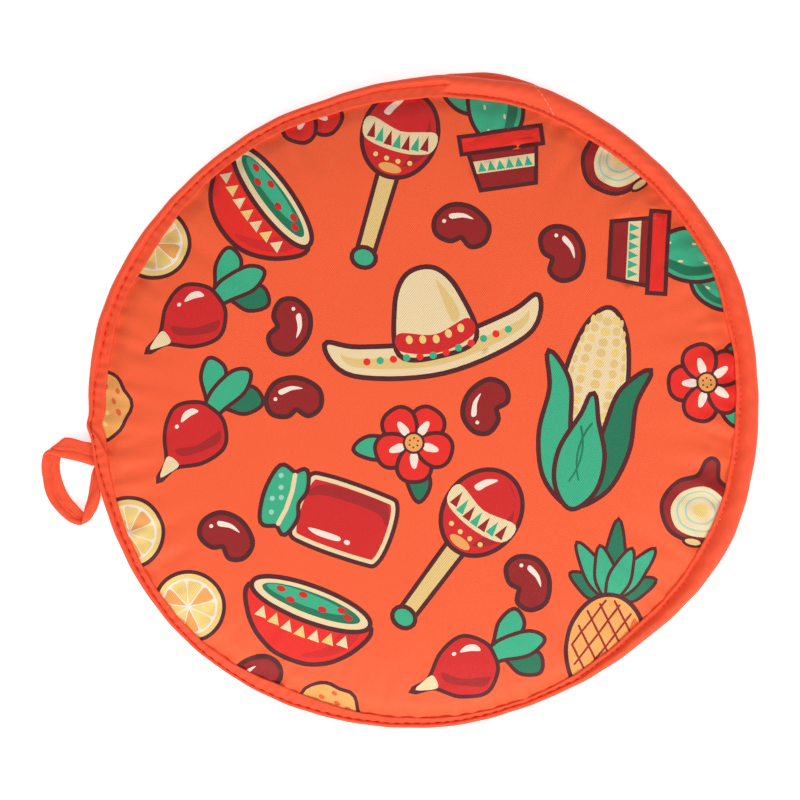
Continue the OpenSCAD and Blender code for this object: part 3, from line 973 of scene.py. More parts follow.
def salsaJar():
    body = closedCurve([(-15, -31), (0, -33), (15, -31), (18, -24), (18, 8), (13, 17), (-13, 17), (-18, 8), (-18, -24)], 6)
    shapes = part(body, "cream") + [(grown(body, -2.2), "red")]
    shapes.append((closedCurve([(15, 5), (10, 14), (6, 14), (9, 4), (9, -22), (4, -30), (13, -28), (15.5, -22)]), "deepRed"))
    shapes += [(closedCurve([(-12.5, 3), (-12, -8), (-9.5, -8), (-9.5, 4), (-10.5, 9)]), "light"), (oval(-11, -13, 2.6, 3.4), "light")]
    shapes += part(closedCurve([(-17, 20), (-8, 17), (0, 19), (8, 17), (17, 20), (14, 25), (15, 33), (0, 36), (-15, 33), (-14, 25)], 5), "green")
    shapes += [(stroke([(-13.6, 24.6), (-5, 23.2), (5, 23.2), (13.6, 24.6)], 2.4), "cream")]
    shapes += [(oval(x, y, 2.8, 2.8), "pale") for x, y in ((-9, 30), (-2, 32), (5, 29.5), (11, 31.5), (0, 27.6))]
    return shapes


def pineapple():
    shapes = []
    for turn, length, colour in ((62, 24, "deepGreen"), (-62, 24, "deepGreen"), (36, 33, "green"), (-36, 33, "green"),
                                 (0, 40, "deepGreen"), (17, 27, "green"), (-17, 27, "green")):
        leaf = closedCurve([(0, -2), (4.8, length * 0.35), (3.4, length * 0.72), (0, length), (-3.4, length * 0.72), (-4.8, length * 0.35)], 5)
        shapes += part(turned(leaf, turn, 0, 7), colour, 1.7)
    shapes += part(oval(0, -18, 38, 52), "gold")
    shapes.append((closedCurve([(13, -2), (9, -20), (4, -40), (10, -36), (16, -26), (18, -14)]), "orange"))
    for n in range(-3, 4):
        for lean in (1, -1):
            t = np.linspace(-30, 30, 31)
            line = np.stack([n * 8.6 + lean * t * 0.62, t - 18], -1)
            line = line[(line[:, 0] / 17.4) ** 2 + ((line[:, 1] + 18) / 24.4) ** 2 < 1]
            if len(line) > 3:
                shapes.append((stroke(line[[0, len(line) // 2, -1]], 1.1), "brownRed"))
    return shapes


# each motif: its drawing and scale, its length and width in mm, its count on one side, and whether it lies along x
motifs = [
    (sombrero, 1.0, 104, 50, 1, True), (cornCob, 0.95, 97, 46, 1, False), (pineapple, 0.9, 90, 43, 1, False),
    (maraca, 0.9, 88, 37, 2, False), (cactusPot, 0.85, 76, 40, 2, False), (salsaJar, 0.86, 66, 35, 1, False),
    (salsaBowl, 0.95, 60, 40, 2, True), (radish, 0.8, 66, 32, 3, False), (halfOnion, 0.86, 42, 38, 2, False),
    (flower, 0.8, 41, 39, 3, False), (citrusWheel, 0.8, 35, 35, 4, False), (flatbread, 0.72, 34, 34, 4, False),
    (sprig, 0.8, 42, 31, 3, False), (garlicBulb, 0.8, 37, 31, 3, False), (bean, 1.0, 26, 19, 14, True),
]


def scattered(seed, reach, gap):
    # packs the motifs, the largest first, each at the free place that lies closest to its neighbours
    draw = random.Random(seed)
    placed, taken = [], []
    for drawing, size, length, width, count, lying in motifs:
        discs = max(1, round(length / width * 1.4))
        spread = (length - width) / 2
        offsets = np.linspace(-spread, spread, discs) if discs > 1 else np.zeros(1)
        line = np.stack([offsets, 0 * offsets] if lying else [0 * offsets, offsets], -1)
        for _ in range(count):
            best = None
            for _ in range(300):
                r, a = reach * math.sqrt(draw.random()), draw.uniform(0, 2 * math.pi)
                x, y, turn = r * math.cos(a), r * math.sin(a), draw.gauss(0, 55)
                centres = turned(line, turn, x, y)
                room = 99.0
                if taken:
                    others = np.array(taken)
                    apart = np.linalg.norm(centres[:, None] - others[None, :, :2], axis=2)
                    room = float((apart - others[None, :, 2] - width / 2).min())
                elif r > 40:
                    continue
                if room >= gap and (best is None or room < best[0]):
                    best = (room, x, y, turn, centres)
            if best is not None:
                _, x, y, turn, centres = best
                placed.append((drawing, size, x, y, turn))
                taken += [(cx, cy, width / 2) for cx, cy in centres]
    return placed


def printShapes(seed, pageTurn, reach):
    # every shape of the print in the pouch's own x and y
    shapes = []
    for drawing, size, x, y, turn in scattered(seed, reach, 5):
        for points, colour in drawing():
            shapes.append((turned(turned(np.array(points) * size, turn, x, y), pageTurn), colour))
    return shapes


def insideOf(polygon, points):
    # nonzero winding test, for points in the polygon's own box
    x, y = points[:, 0:1], points[:, 1:2]
    x1, y1 = polygon[:, 0][None], polygon[:, 1][None]
    x2, y2 = np.roll(polygon[:, 0], -1)[None], np.roll(polygon[:, 1], -1)[None]
    side = (x2 - x1) * (y - y1) - (x - x1) * (y2 - y1)
    winding = ((y1 <= y) & (y2 > y) & (side > 0)).sum(1) - ((y1 > y) & (y2 <= y) & (side < 0)).sum(1)
    return winding != 0


def hexGrid(reach, spacing):
    rows = []
    for n in range(-int(reach / (spacing * 0.866)) - 1, int(reach / (spacing * 0.866)) + 2):
        x = np.arange(-reach, reach + spacing, spacing) + (spacing / 2 if n % 2 else 0)
        rows.append(np.stack([x, np.full_like(x, n * spacing * 0.866)], -1))
    return np.concatenate(rows)


def discTriangles(ring, runs, spacing, closeSpacing):
    # triangles inside a ring, with the runs' lines kept as edges
    points, edges = [ring], []
    def closeRun(run, start):
        n = np.arange(len(run))
        edges.append(np.stack([start + n, start + (n + 1) % len(run)], -1))
    closeRun(ring, 0)
    start = len(ring)
    for run in runs:
        points.append(run)
        closeRun(run, start)
        start += len(run)
    lines = np.concatenate(points)
    tree = KDTree(len(lines))
    for n, p in enumerate(lines):
        tree.insert((p[0], p[1], 0), n)
    tree.balance()
    wide, close = hexGrid(np.abs(ring).max(), spacing), hexGrid(np.abs(ring).max(), closeSpacing)
    outer = np.abs(ring).max() - 24
    wide = wide[np.hypot(wide[:, 0], wide[:, 1]) < outer]
    close = close[np.hypot(close[:, 0], close[:, 1]) >= outer]  # finer where the cloth is gathered
    close = close[insideOf(ring, close)]
    grid = np.concatenate([wide, close])
    clear = np.repeat([spacing * 0.42, closeSpacing * 0.42], [len(wide), len(close)])
    keep = [tree.find((p[0], p[1], 0))[2] > c for p, c in zip(grid, clear)]
    everything = np.concatenate([lines, grid[keep]])
    found = geometry.delaunay_2d_cdt([tuple(p) for p in everything.tolist()], np.concatenate(edges).tolist(), [], 0, 1e-4)
    flat = np.array([tuple(p) for p in found[0]])
    faces = np.array([f for f in found[2] if len(f) == 3])
    middles = flat[faces].mean(1)
    faces = faces[insideOf(ring, middles)]
    used = np.unique(faces)
    renumber = np.full(len(flat), -1)
    renumber[used] = np.arange(len(used))
    faces = renumber[faces]
    flat = flat[used]
    corner = flat[faces]
    area = np.cross(corner[:, 1] - corner[:, 0], corner[:, 2] - corner[:, 0])
    faces[area < 0] = faces[area < 0][:, ::-1]
    return flat, faces[np.abs(area) > 1e-7]


def rimOf(faces, flat):
    # the vertices of the outer boundary in order of angle
    edges = np.concatenate([faces[:, [0, 1]], faces[:, [1, 2]], faces[:, [2, 0]]])
    key = np.sort(edges, 1)
    _, first, counts = np.unique(key, axis=0, return_index=True, return_counts=True)
    rim = np.unique(key[first[counts == 1]])
    return rim[np.argsort(np.arctan2(flat[rim, 1], flat[rim, 0]))]


def clothSheet(name, rings, shapes, surface, thickness, material, spacing, closeSpacing, faceUp):
    # a closed thin cloth: the face side holds the print's lines, and the other side is plain
    print(name, "shapes", len(shapes))
    ring = rings[0]
    reach = np.abs(ring).max()
    shapes = [(p, c) for p, c in shapes if np.hypot(p[:, 0], p[:, 1]).min() < reach]
    flat, faces = discTriangles(ring, [p for p, _ in shapes] + rings[1:], spacing, closeSpacing)
    rim = rimOf(faces, flat)
    plainFlat, plainFaces = discTriangles(flat[rim], rings[1:], spacing * 1.6, closeSpacing)
    match = {tuple(np.round(p, 4)): n for n, p in enumerate(plainFlat)}
    plainRim = np.array([match[tuple(np.round(p, 4))] for p in flat[rim]])
    middles = flat[faces].mean(1)
    names = list(inks)
    colourOf = np.full(len(faces), names.index("ground"))
    for points, colour in shapes:
        low, high = points.min(0), points.max(0)
        near = np.nonzero(((middles >= low) & (middles <= high)).all(1))[0]
        if len(near):
            colourOf[near[insideOf(points, middles[near])]] = names.index(colour)
    count = len(flat)
    faceSide = surface(flat[:, 0], flat[:, 1])
    plainSide = surface(plainFlat[:, 0], plainFlat[:, 1])
    plainSide[:, 2] += -thickness if faceUp else thickness
    sides = np.concatenate([
        np.stack([rim, plainRim + count, np.roll(plainRim, -1) + count], -1),
        np.stack([rim, np.roll(plainRim, -1) + count, np.roll(rim, -1)], -1)])
    if not faceUp:
        faces, plainFaces, sides = faces[:, ::-1], plainFaces[:, ::-1], sides[:, ::-1]
    allFaces = np.concatenate([faces, plainFaces[:, ::-1] + count, sides])
    places = np.concatenate([faceSide, plainSide])
    flats = np.concatenate([flat, plainFlat])
    if name.startswith("front"):
        places = lifted(places)
    mesh = bpy.data.meshes.new(name)
    mesh.from_pydata((places * mm).tolist(), [], allFaces.tolist())
    uv = mesh.uv_layers.new(name="cloth")
    uv.data.foreach_set("uv", (flats[allFaces.reshape(-1)] * mm).astype(np.float32).ravel())
    if len(shapes):
        paint = mesh.color_attributes.new("printColour", "FLOAT_COLOR", "CORNER")
        table = np.array([linear(inks[n]) for n in names])
        perFace = np.concatenate([table[colourOf], np.tile(linear(inks["ground"]), (len(allFaces) - len(faces), 1))])
        paint.data.foreach_set("color", np.repeat(perFace, 3, axis=0).astype(np.float32).ravel())
    mesh.shade_smooth()
    mesh.materials.append(material)
    piece = bpy.data.objects.new(name, mesh)
    bpy.context.scene.collection.objects.link(piece)
    print(name, "triangles", len(allFaces))
    return piece


def ringsOf(inner, width, insets, count):
    # rings at mm in from a binding's inner edge; the first is the cloth's own cut edge
    a = np.arange(count) * 2 * np.pi / count
    tuck = np.minimum(pouch["tuck"], 0.5 * width(a))
    return [np.stack([r * np.cos(a), r * np.sin(a)], -1)
            for r in [inner(a) + tuck] + [inner(a) - inset for inset in insets]]


# the page of the print stands upright in the photograph
fine, coarse = (-1.9, -0.6, 0.1, 0.8, 1.9, 3.6), (-0.6, 0.6, 2.5)

frontCover = clothSheet("front_cover_cloth", ringsOf(innerEdge, bandWidth, fine, 760),
                        printShapes(35, -photo["turn"], 152), frontCoverPoints, 0.5, twillMaterial, 3.4, 1.5, True)
backCover = clothSheet("back_cover_cloth", ringsOf(backInnerEdge, backBandWidth, coarse, 540),
                       printShapes(72, 180 - photo["turn"], 152), backCoverPoints, 0.5, twillMaterial, 4.5, 2.2, False)
frontLining = clothSheet("front_lining_cloth", ringsOf(innerEdge, bandWidth, coarse, 540), [],
                         frontLiningPoints, 0.4, liningMaterial, 4.5, 2.2, False)
backLining = clothSheet("back_lining_cloth", ringsOf(backInnerEdge, backBandWidth, coarse, 540), [],
                        backLiningPoints, 0.4, liningMaterial, 4.5, 2.2, True)
print("cloths cut and laid")


def battingPad(name, edge, topSurface, lowSurface, thicknesses, front):
    # a soft disc that fills the space between a cover and its lining
    radial, turns = 56, 360
    a = (np.arange(turns) * 2 * np.pi / turns)[None, :]
    share = np.sin(np.linspace(0, 1, radial + 1)[1:] * np.pi / 2)[:, None]
    r = share * (edge(a) - 0.6)
    x, y = r * np.cos(a), r * np.sin(a)
    top, low = topSurface(x, y), lowSurface(x, y)
    # the filling bridges the cloths' puckers: it takes the tightest height among its neighbours
    top[..., 2] = np.minimum.reduce([np.roll(top[..., 2], n, axis=1) for n in range(-2, 3)]) - thicknesses[0] - 0.15
    low[..., 2] = np.maximum.reduce([np.roll(low[..., 2], n, axis=1) for n in range(-2, 3)]) + thicknesses[1] + 0.15
    middle = (top + low) / 2
    half = np.maximum((top - low)[..., 2] / 2 * (1 - 0.75 * smooth((share - 0.97) / 0.03)), 0.03)
    top, low = middle.copy(), middle.copy()
    top[..., 2] += half
    low[..., 2] -= half
    peak = [topSurface(np.zeros(1), np.zeros(1))[0] - (0, 0, thicknesses[0] + 0.12),
            lowSurface(np.zeros(1), np.zeros(1))[0] + (0, 0, thicknesses[1] + 0.12)]
    points = np.concatenate([top.reshape(-1, 3), low.reshape(-1, 3), peak])
    index = np.arange(radial * turns).reshape(radial, turns)
    after = np.roll(index, -1, axis=1)
    more = radial * turns
    quads = np.stack([index[:-1], index[1:], after[1:], after[:-1]], -1).reshape(-1, 4)
    side = np.stack([index[-1], index[-1] + more, after[-1] + more, after[-1]], -1)
    fans = [[2 * more, int(p), int(q)] for p, q in zip(index[0], after[0])]
    fans += [[2 * more + 1, int(q) + more, int(p) + more] for p, q in zip(index[0], after[0])]
    faces = np.concatenate([quads, quads[:, ::-1] + more, side]).tolist() + fans
    return outward(makePiece(name, lifted(points) if front else points, faces, battingMaterial))


frontBatting = battingPad("front_batting_pad", innerEdge, frontCoverPoints, frontLiningPoints, (0.5, 0.4), True)
backBatting = battingPad("back_batting_pad", backInnerEdge, backLiningPoints, backCoverPoints, (0.4, 0.5), False)
print("battings filled")


# bindings: one folded tape round each rim
def tapeSection(a, width, topRise, underRise, grip):
    # closed section at each angle: over the rim, round its edge, back under, and in along the channel
    top = np.linspace(1, 0, binding["topPoints"]) ** 1.25
    under = np.linspace(0, 1, binding["underPoints"])[1:] ** 1.4
    channel = np.linspace(1, 0.16, binding["channelPoints"])
    u = width * np.concatenate([top, under])
    h = np.concatenate([topRise(a, width * top), -underRise(a, width * under)], 1)
    reachIn = width * channel
    below, above = grip(a, reachIn)
    close = np.sqrt(np.clip(1 - (1 - np.clip(channel / 0.5, 0, 1)) ** 2, 0.02, 1))
    uIn = np.concatenate([reachIn, reachIn[:, ::-1]], 1)
    hIn = np.concatenate([-below * close, (above * close)[:, ::-1]], 1)
    return np.concatenate([u, uIn], 1), np.concatenate([h, hIn], 1)


def bandPiece(name, edge, width, topRise, underRise, grip, middle, front):
    count = binding["sections"]
    a = (np.arange(count) * 2 * np.pi / count)[:, None]
    u, h = tapeSection(a, width(a), topRise, underRise, grip)
    r = edge(a) - u
    rings = np.stack([r * np.cos(a), r * np.sin(a), middle + h], -1)
    if front:
        rings = lifted(rings)
    alongStops = np.arange(count + 1) * 2 * np.pi * rimRadius / count
    middleRing = np.stack([u[0], h[0]], -1)
    steps = np.linalg.norm(np.roll(middleRing, -1, axis=0) - middleRing, axis=1)
    return outward(sweptPiece(name, rings, tapeMaterial, True, alongStops, np.append(0, np.cumsum(steps))))


def frontUnder(a, u):
    width = bandWidth(a)
    gape = gapeAt(a)
    t = np.clip(u / width, 0, 1)
    roll = np.sqrt(np.clip(1 - (1 - np.clip(t / 0.3, 0, 1)) ** 2, 0, 1))
    h = (bandHeight / 2 + 0.9 * gape * np.sin(np.pi * t) ** 0.7) * roll
    h = h - gape * 0.4 * bump(width - u, pouch["seamIn"], 0.8)
    return h + gape * np.sin(np.pi * t) * ripple(a * rimRadius, u, 45, binding["creases"], 1.2)


def backTopRise(a, u):
    width = backBandWidth(a)
    gape = gapeAt(a)
    t = np.clip(u / width, 0, 1)
    roll = np.sqrt(np.clip(1 - (1 - np.clip(t / 0.3, 0, 1)) ** 2, 0, 1))
    h = (bandHeight / 2 + 0.95 * gape * np.sin(np.pi * t) ** 0.7) * roll
    h = h - gape * 0.45 * bump(width - u, pouch["seamIn"], 0.8)
    return h + gape * np.sin(np.pi * t) * ripple(a * rimRadius, u, 15, binding["creases"], 1.2)


def backUnderRise(a, u):
    width = backBandWidth(a)
    t = np.clip(u / width, 0, 1)
    roll = np.sqrt(np.clip(1 - (1 - np.clip(t / 0.35, 0, 1)) ** 2, 0, 1))
    h = (bandHeight / 2 + 0.1) * roll
    h = h - 0.4 * bump(width - u, pouch["seamIn"], 0.8) - closedShare(a) * 0.7 * bump(u, closingIn(a), 0.9)
    return np.minimum(h + 0.5 * np.sin(np.pi * t) * ripple(a * rimRadius, u, 25, binding["creases"], 1.2), backMiddle - 0.05)


def backGrip(a, u):
    half = np.minimum(pouch["pinchedThickness"] / 2 + 0.02, backTopRise(a, u) - binding["tapeThickness"])
    return half, half


def frontGrip(a, u):
    return liningUnderBand(a, u) + 0.03, clothUnderBand(a, u) + 0.03


frontTape = bandPiece("front_binding_tape", frontEdge, bandWidth, frontBandTop, frontUnder, frontGrip, frontMiddle, True)
backTape = bandPiece("back_binding_tape", backEdge, backBandWidth, backTopRise, backUnderRise, backGrip, backMiddle, False)
print("bindings folded over the rims")

# hanging loop: a folded tape laid flat, with two slanted folds; each rung joins its two edges
loop = {
    # rungs across the tape, from the top strand round to the lower one, read off the photograph:
    # the pixels of one edge, the middle and the other edge, then their heights in mm
    "rungs": [
        ((103.5, 444.5), (104.5, 455.5), (105, 466.5), (3.4, 3.4, 3.4)),
        ((90.5, 442.5), (92, 454), (93.5, 466), (3.5, 3.5, 3.5)),
        ((85.5, 442), (87.5, 453.5), (88.5, 465), (3.7, 3.8, 3.7)),
        ((78.5, 440), (80, 451), (81, 462.5), (4, 4.2, 4)),
        ((71.5, 438), (72, 449.5), (72.5, 460.5), (4.3, 4.6, 4.3)),
        ((67.5, 437.5), (64.5, 448.5), (63.5, 458.5), (4.5, 5, 4.8)),
        ((66, 437.5), (58.5, 448), (55.5, 456), (4.6, 5.3, 5.2)),
        ((65.5, 437.5), (54.5, 447.5), (49.5, 454), (4.5, 5.2, 5.2)),
        ((65, 438), (52, 448), (45, 455), (4.2, 4.8, 4.9)),
        ((64.5, 438), (50.5, 448.5), (42, 457.5), (3.8, 4.1, 4.2)),
        ((64.5, 439), (50.5, 450.5), (41, 461.5), (3.4, 3.4, 3.5)),
        ((64, 442.5), (51.5, 454), (40.5, 466), (3.1, 3, 3.1)),
        ((62.5, 448), (52, 459), (40.5, 470.5), (2.9, 2.7, 2.8)),
        ((60.5, 455.5), (51, 464.5), (41, 475), (2.8, 2.5, 2.6)),
        ((59, 464), (50.5, 472), (42, 480.5), (2.7, 2.3, 2.5)),
        ((59.5, 472.5), (51, 478), (42.5, 485), (2.7, 2.2, 2.4)),
        ((61, 479), (52.5, 484), (43.5, 489.5), (2.7, 2.2, 2.4)),
        ((63.5, 486), (54.5, 490.5), (45, 494.5), (2.7, 2.2, 2.4)),
        ((66.5, 492.5), (57, 497), (47.5, 500), (2.7, 2.2, 2.4)),
        ((70.5, 499), (60.5, 502.5), (51, 505.5), (2.7, 2.3, 2.4)),
        ((75, 504), (65, 508.5), (56, 511.5), (2.8, 2.4, 2.5)),
        ((79.5, 509), (70.5, 513.5), (61.5, 517), (2.8, 2.5, 2.6)),
        ((83.5, 512.5), (76, 517.5), (67, 521.5), (2.8, 2.6, 2.7)),
        ((87.5, 511.5), (81.5, 518.5), (72, 524), (2.7, 2.6, 2.7)),
        ((91.5, 507.5), (87, 516.5), (75, 525), (2.7, 2.6, 2.8)),
        ((95, 502), (91, 514), (77, 525.5), (2.8, 2.7, 2.9)),
        ((98, 496), (93.5, 512.5), (78.5, 525.5), (3.2, 3.1, 3.2)),
        ((99, 492.5), (94.5, 511.5), (79.5, 525), (3.7, 3.8, 3.6)),
        ((99.5, 490.5), (92.5, 509), (80.5, 523.5), (4.3, 4.9, 4.3)),
        ((100, 488.5), (90, 505), (82, 521), (4.6, 5.3, 4.7)),
        ((100.5, 486), (89.5, 500.5), (83.5, 516.5), (4.5, 5, 4.7)),
        ((101.5, 482.5), (91, 496), (85, 510.5), (4.2, 4.6, 4.5)),
        ((102, 478), (92.5, 490.5), (86.5, 504), (4, 4.2, 4.2)),
        ((102, 472.5), (93.5, 484.5), (87.5, 497.5), (3.8, 3.9, 3.9)),
        ((102, 466.5), (94.5, 478), (88.5, 489.5), (3.6, 3.7, 3.7)),
        ((102, 460.5), (95, 472), (89.5, 482.5), (3.5, 3.5, 3.5)),
        ((101, 455), (95.5, 466), (90.5, 475), (3.5, 3.5, 3.5)),
        ((101.5, 450.5), (97.5, 460.5), (92.5, 469.5), (3.4, 3.4, 3.4))],
    # across the tape: its thin half, the seam's ridge and valley, and the rolled half, seen from each face
    "shares": [0, 0.012, 0.04, 0.08, 0.14, 0.25, 0.38, 0.455, 0.485, 0.505, 0.53, 0.565, 0.6, 0.66, 0.74, 0.82, 0.89, 0.945, 0.98, 1],
    "faceHeights": [0.05, 0.28, 0.42, 0.45, 0.38, 0.33, 0.33, 0.34, 0.36, 0.36, 0.30, 0.14, 0.34, 0.58, 0.74, 0.76, 0.66, 0.5, 0.3, 0.05],
    "seamHeights": [0.05, 0.28, 0.42, 0.45, 0.38, 0.33, 0.33, 0.36, 0.52, 0.62, 0.36, 0.06, 0.28, 0.60, 0.80, 0.82, 0.70, 0.52, 0.3, 0.05],
    "stepsPerSpan": 4,
    "stitchShare": 0.45,    # place of the edge stitches across the tape
}


def throughRows(rows, steps):
    # smooth run through rows of points, as many steps between each two
    p = np.array(rows, float)
    p = np.concatenate([[2 * p[0] - p[1]], p, [2 * p[-1] - p[-2]]])
    t = (np.arange(steps) / steps).reshape((-1,) + (1,) * (p.ndim - 1))
    run = []
    for i in range(1, len(p) - 2):
        a, b, c, d = p[i - 1:i + 3]
        run.append(b + t * ((c - a) / 2 + t * (a - 2.5 * b + 2 * c - d / 2 + t * (1.5 * (b - c) + (d - a) / 2))))
    return np.concatenate(run + [p[-2:-1]])


def loopSurface(shares):
    # the tape's middle surface and its normal at shares across, one row to each step along it
    flat = fromPhoto(np.array([rung[:3] for rung in loop["rungs"]]))
    heights = np.array([rung[3] for rung in loop["rungs"]])[..., None]
    rungs = throughRows(np.concatenate([flat, heights], -1), loop["stepsPerSpan"])[:, None]
    start, middle, end = rungs[:, :, 0], rungs[:, :, 1], rungs[:, :, 2]
    pull = 2 * middle - (start + end) / 2
    s = shares[..., None]
    place = (1 - s) ** 2 * start + 2 * s * (1 - s) * pull + s * s * end
    across = 2 * (1 - s) * (pull - start) + 2 * s * (end - pull)
    along = np.gradient(place, axis=0)
    normal = np.cross(along, across)
    return place, normal / np.linalg.norm(normal, axis=-1, keepdims=True)


def loopPiece():
    shares = np.array(loop["shares"])
    pos = np.concatenate([shares, shares[::-1][1:-1]])
    off = np.concatenate([np.array(loop["faceHeights"]), -np.array(loop["seamHeights"])[::-1][1:-1]])
    count = (len(loop["rungs"]) - 1) * loop["stepsPerSpan"] + 1
    step = np.arange(count)[:, None] * 1.0
    wander = 0.022 * ripple(step, 0 * pos[None], 62, [(23, 1), (11, 0.8)], 0) * bump(pos, 0.53, 0.13)[None]
    place, normal = loopSurface(pos[None] + wander)
    crease = 0.5 * ripple(step, pos[None] * 10, 61, [(17, 0.12), (9, 0.10), (5.5, 0.06)], 2)
    rings = place + normal * (off[None] + crease * np.sign(off)[None])[..., None]
    middle, _ = loopSurface(np.full((count, 1), 0.5))
    alongStops = np.append(0, np.cumsum(np.linalg.norm(np.diff(middle[:, 0], axis=0), axis=1)))
    ring = np.stack([pos * 10, off], -1)
    aroundStops = np.append(0, np.cumsum(np.linalg.norm(np.roll(ring, -1, axis=0) - ring, axis=1)))
    return outward(sweptPiece("hanging_loop_tape", rings, tapeMaterial, False, alongStops, aroundStops))


loopTape = loopPiece()
print("loop folded")


# stitches, by Geometry Nodes along lines laid on the cloth
def stitchTree():
    tree = bpy.data.node_groups.new("sewn row", "GeometryNodeTree")
    face = tree.interface
    face.new_socket("Geometry", in_out="OUTPUT", socket_type="NodeSocketGeometry")
    face.new_socket("Line", in_out="INPUT", socket_type="NodeSocketGeometry")
    for name, value in (("Pitch", 0.003), ("Stitch Length", 0.0022), ("Thread Width", 0.0005),
                        ("Stitch Height", 0.0003), ("Knot Share", 0.3), ("Slant", 0.1)):
        face.new_socket(name, in_out="INPUT", socket_type="NodeSocketFloat").default_value = value
    face.new_socket("Seed", in_out="INPUT", socket_type="NodeSocketInt").default_value = 1
    face.new_socket("Thread", in_out="INPUT", socket_type="NodeSocketMaterial")
    face.new_socket("Knot", in_out="INPUT", socket_type="NodeSocketMaterial")
    given = add(tree, "NodeGroupInput").outputs
    curve = add(tree, "GeometryNodeMeshToCurve", {0: given["Line"]}).outputs[0]
    spaced = add(tree, "GeometryNodeResampleCurve", {"Curve": curve, "Length": given["Pitch"]}, mode="LENGTH").outputs[0]
    tangent = add(tree, "GeometryNodeInputTangent").outputs[0]
    up = add(tree, "GeometryNodeInputNamedAttribute", {"Name": "up"}, data_type="FLOAT_VECTOR").outputs[0]
    turn = add(tree, "FunctionNodeAlignRotationToVector", {"Vector": tangent}, axis="X").outputs[0]
    turn = add(tree, "FunctionNodeAlignRotationToVector", {"Rotation": turn, "Vector": up}, axis="Z", pivot_axis="X").outputs[0]

    def times(a, b):
        return add(tree, "ShaderNodeMath", {0: a, 1: b}, operation="MULTIPLY").outputs[0]

    def placeOf(x, z):
        return add(tree, "ShaderNodeCombineXYZ", {"X": x, "Z": z}).outputs[0]

    half, rise = times(given["Stitch Length"], 0.5), given["Stitch Height"]
    arch = add(tree, "GeometryNodeCurveQuadraticBezier", {
        "Resolution": 5, "Start": placeOf(times(half, -1.0), times(rise, -0.9)),
        "Middle": placeOf(0.0, times(rise, 1.6)), "End": placeOf(half, times(rise, -0.9))}).outputs[0]
    round_ = add(tree, "GeometryNodeCurvePrimitiveCircle", {"Resolution": 6, "Radius": times(given["Thread Width"], 0.5)}).outputs[0]
    stitch = add(tree, "GeometryNodeCurveToMesh", {"Curve": arch, "Profile Curve": round_, "Fill Caps": True}).outputs[0]
    stitch = add(tree, "GeometryNodeSetMaterial", {"Geometry": stitch, "Material": given["Thread"]}).outputs[0]
    size = add(tree, "FunctionNodeRandomValue", {0: (0.86, 0.9, 0.85), 1: (1.08, 1.1, 1.15), "Seed": given["Seed"]}, data_type="FLOAT_VECTOR").outputs[0]
    row = add(tree, "GeometryNodeInstanceOnPoints", {"Points": spaced, "Instance": stitch, "Rotation": turn, "Scale": size}).outputs[0]
    lean = add(tree, "FunctionNodeRandomValue", {2: times(given["Slant"], -1.0), 3: given["Slant"], "Seed": given["Seed"]}, data_type="FLOAT").outputs[1]
    row = add(tree, "GeometryNodeRotateInstances", {"Instances": row, "Rotation": add(tree, "ShaderNodeCombineXYZ", {"Z": lean}).outputs[0]}).outputs[0]
    # pale balls at some needle holes: the looped under thread, drawn pale as painted glints of light on the thread
    ball = add(tree, "GeometryNodeMeshIcoSphere", {"Radius": times(given["Thread Width"], 0.5), "Subdivisions": 1}).outputs[0]
    ball = add(tree, "GeometryNodeSetMaterial", {"Geometry": ball, "Material": given["Knot"]}).outputs[0]
    chosen = add(tree, "FunctionNodeRandomValue", {"Probability": given["Knot Share"], "Seed": given["Seed"]}, data_type="BOOLEAN").outputs[3]
    shiftBack = add(tree, "ShaderNodeVectorMath", {0: tangent, "Scale": times(given["Pitch"], 0.5)}, operation="SCALE").outputs[0]
    between = add(tree, "GeometryNodeSetPosition", {"Geometry": spaced, "Offset": shiftBack}).outputs[0]
    paleKnotGlints = add(tree, "GeometryNodeInstanceOnPoints", {"Points": between, "Selection": chosen, "Instance": ball, "Rotation": turn}).outputs[0]
    both = add(tree, "GeometryNodeJoinGeometry")
    tree.links.new(row, both.inputs[0])
    tree.links.new(paleKnotGlints, both.inputs[0])
    solid = add(tree, "GeometryNodeRealizeInstances", {0: both.outputs[0]}).outputs[0]
    add(tree, "NodeGroupOutput", {0: add(tree, "GeometryNodeSetShadeSmooth", {0: solid}).outputs[0]})
    return tree


stitches = stitchTree()


def sewnRow(name, lines, **sizes):
    # lines are (points, up directions, closed), in mm; sizes are in metres
    points, ups, edges = [], [], []
    for run, up, closed in lines:
        start = sum(len(p) for p in points)
        n = np.arange(len(run) if closed else len(run) - 1)
        edges += np.stack([start + n, start + (n + 1) % len(run)], -1).tolist()
        points.append(run)
        ups.append(up)
    mesh = bpy.data.meshes.new(name)
    mesh.from_pydata((np.concatenate(points) * mm).tolist(), edges, [])
    mesh.attributes.new("up", "FLOAT_VECTOR", "POINT").data.foreach_set("vector", np.concatenate(ups).astype(np.float32).ravel())
    row = bpy.data.objects.new(name, mesh)
    bpy.context.scene.collection.objects.link(row)
    modifier = row.modifiers.new("sewing", "NODES")
    modifier.node_group = stitches
    for socket in stitches.interface.items_tree:
        if socket.in_out == "INPUT" and socket.name in sizes:
            modifier[socket.identifier] = sizes[socket.name]
        elif socket.in_out == "INPUT" and socket.name == "Thread":
            modifier[socket.identifier] = threadMaterial
        elif socket.in_out == "INPUT" and socket.name == "Knot":
            modifier[socket.identifier] = paleThreadAndGlintMaterial
    evaluated = row.evaluated_get(bpy.context.evaluated_depsgraph_get())
    finished = bpy.data.meshes.new_from_object(evaluated)
    finished.name = name
    row.modifiers.clear()
    row.data = finished
    print(name, "faces", len(finished.polygons))
    return row


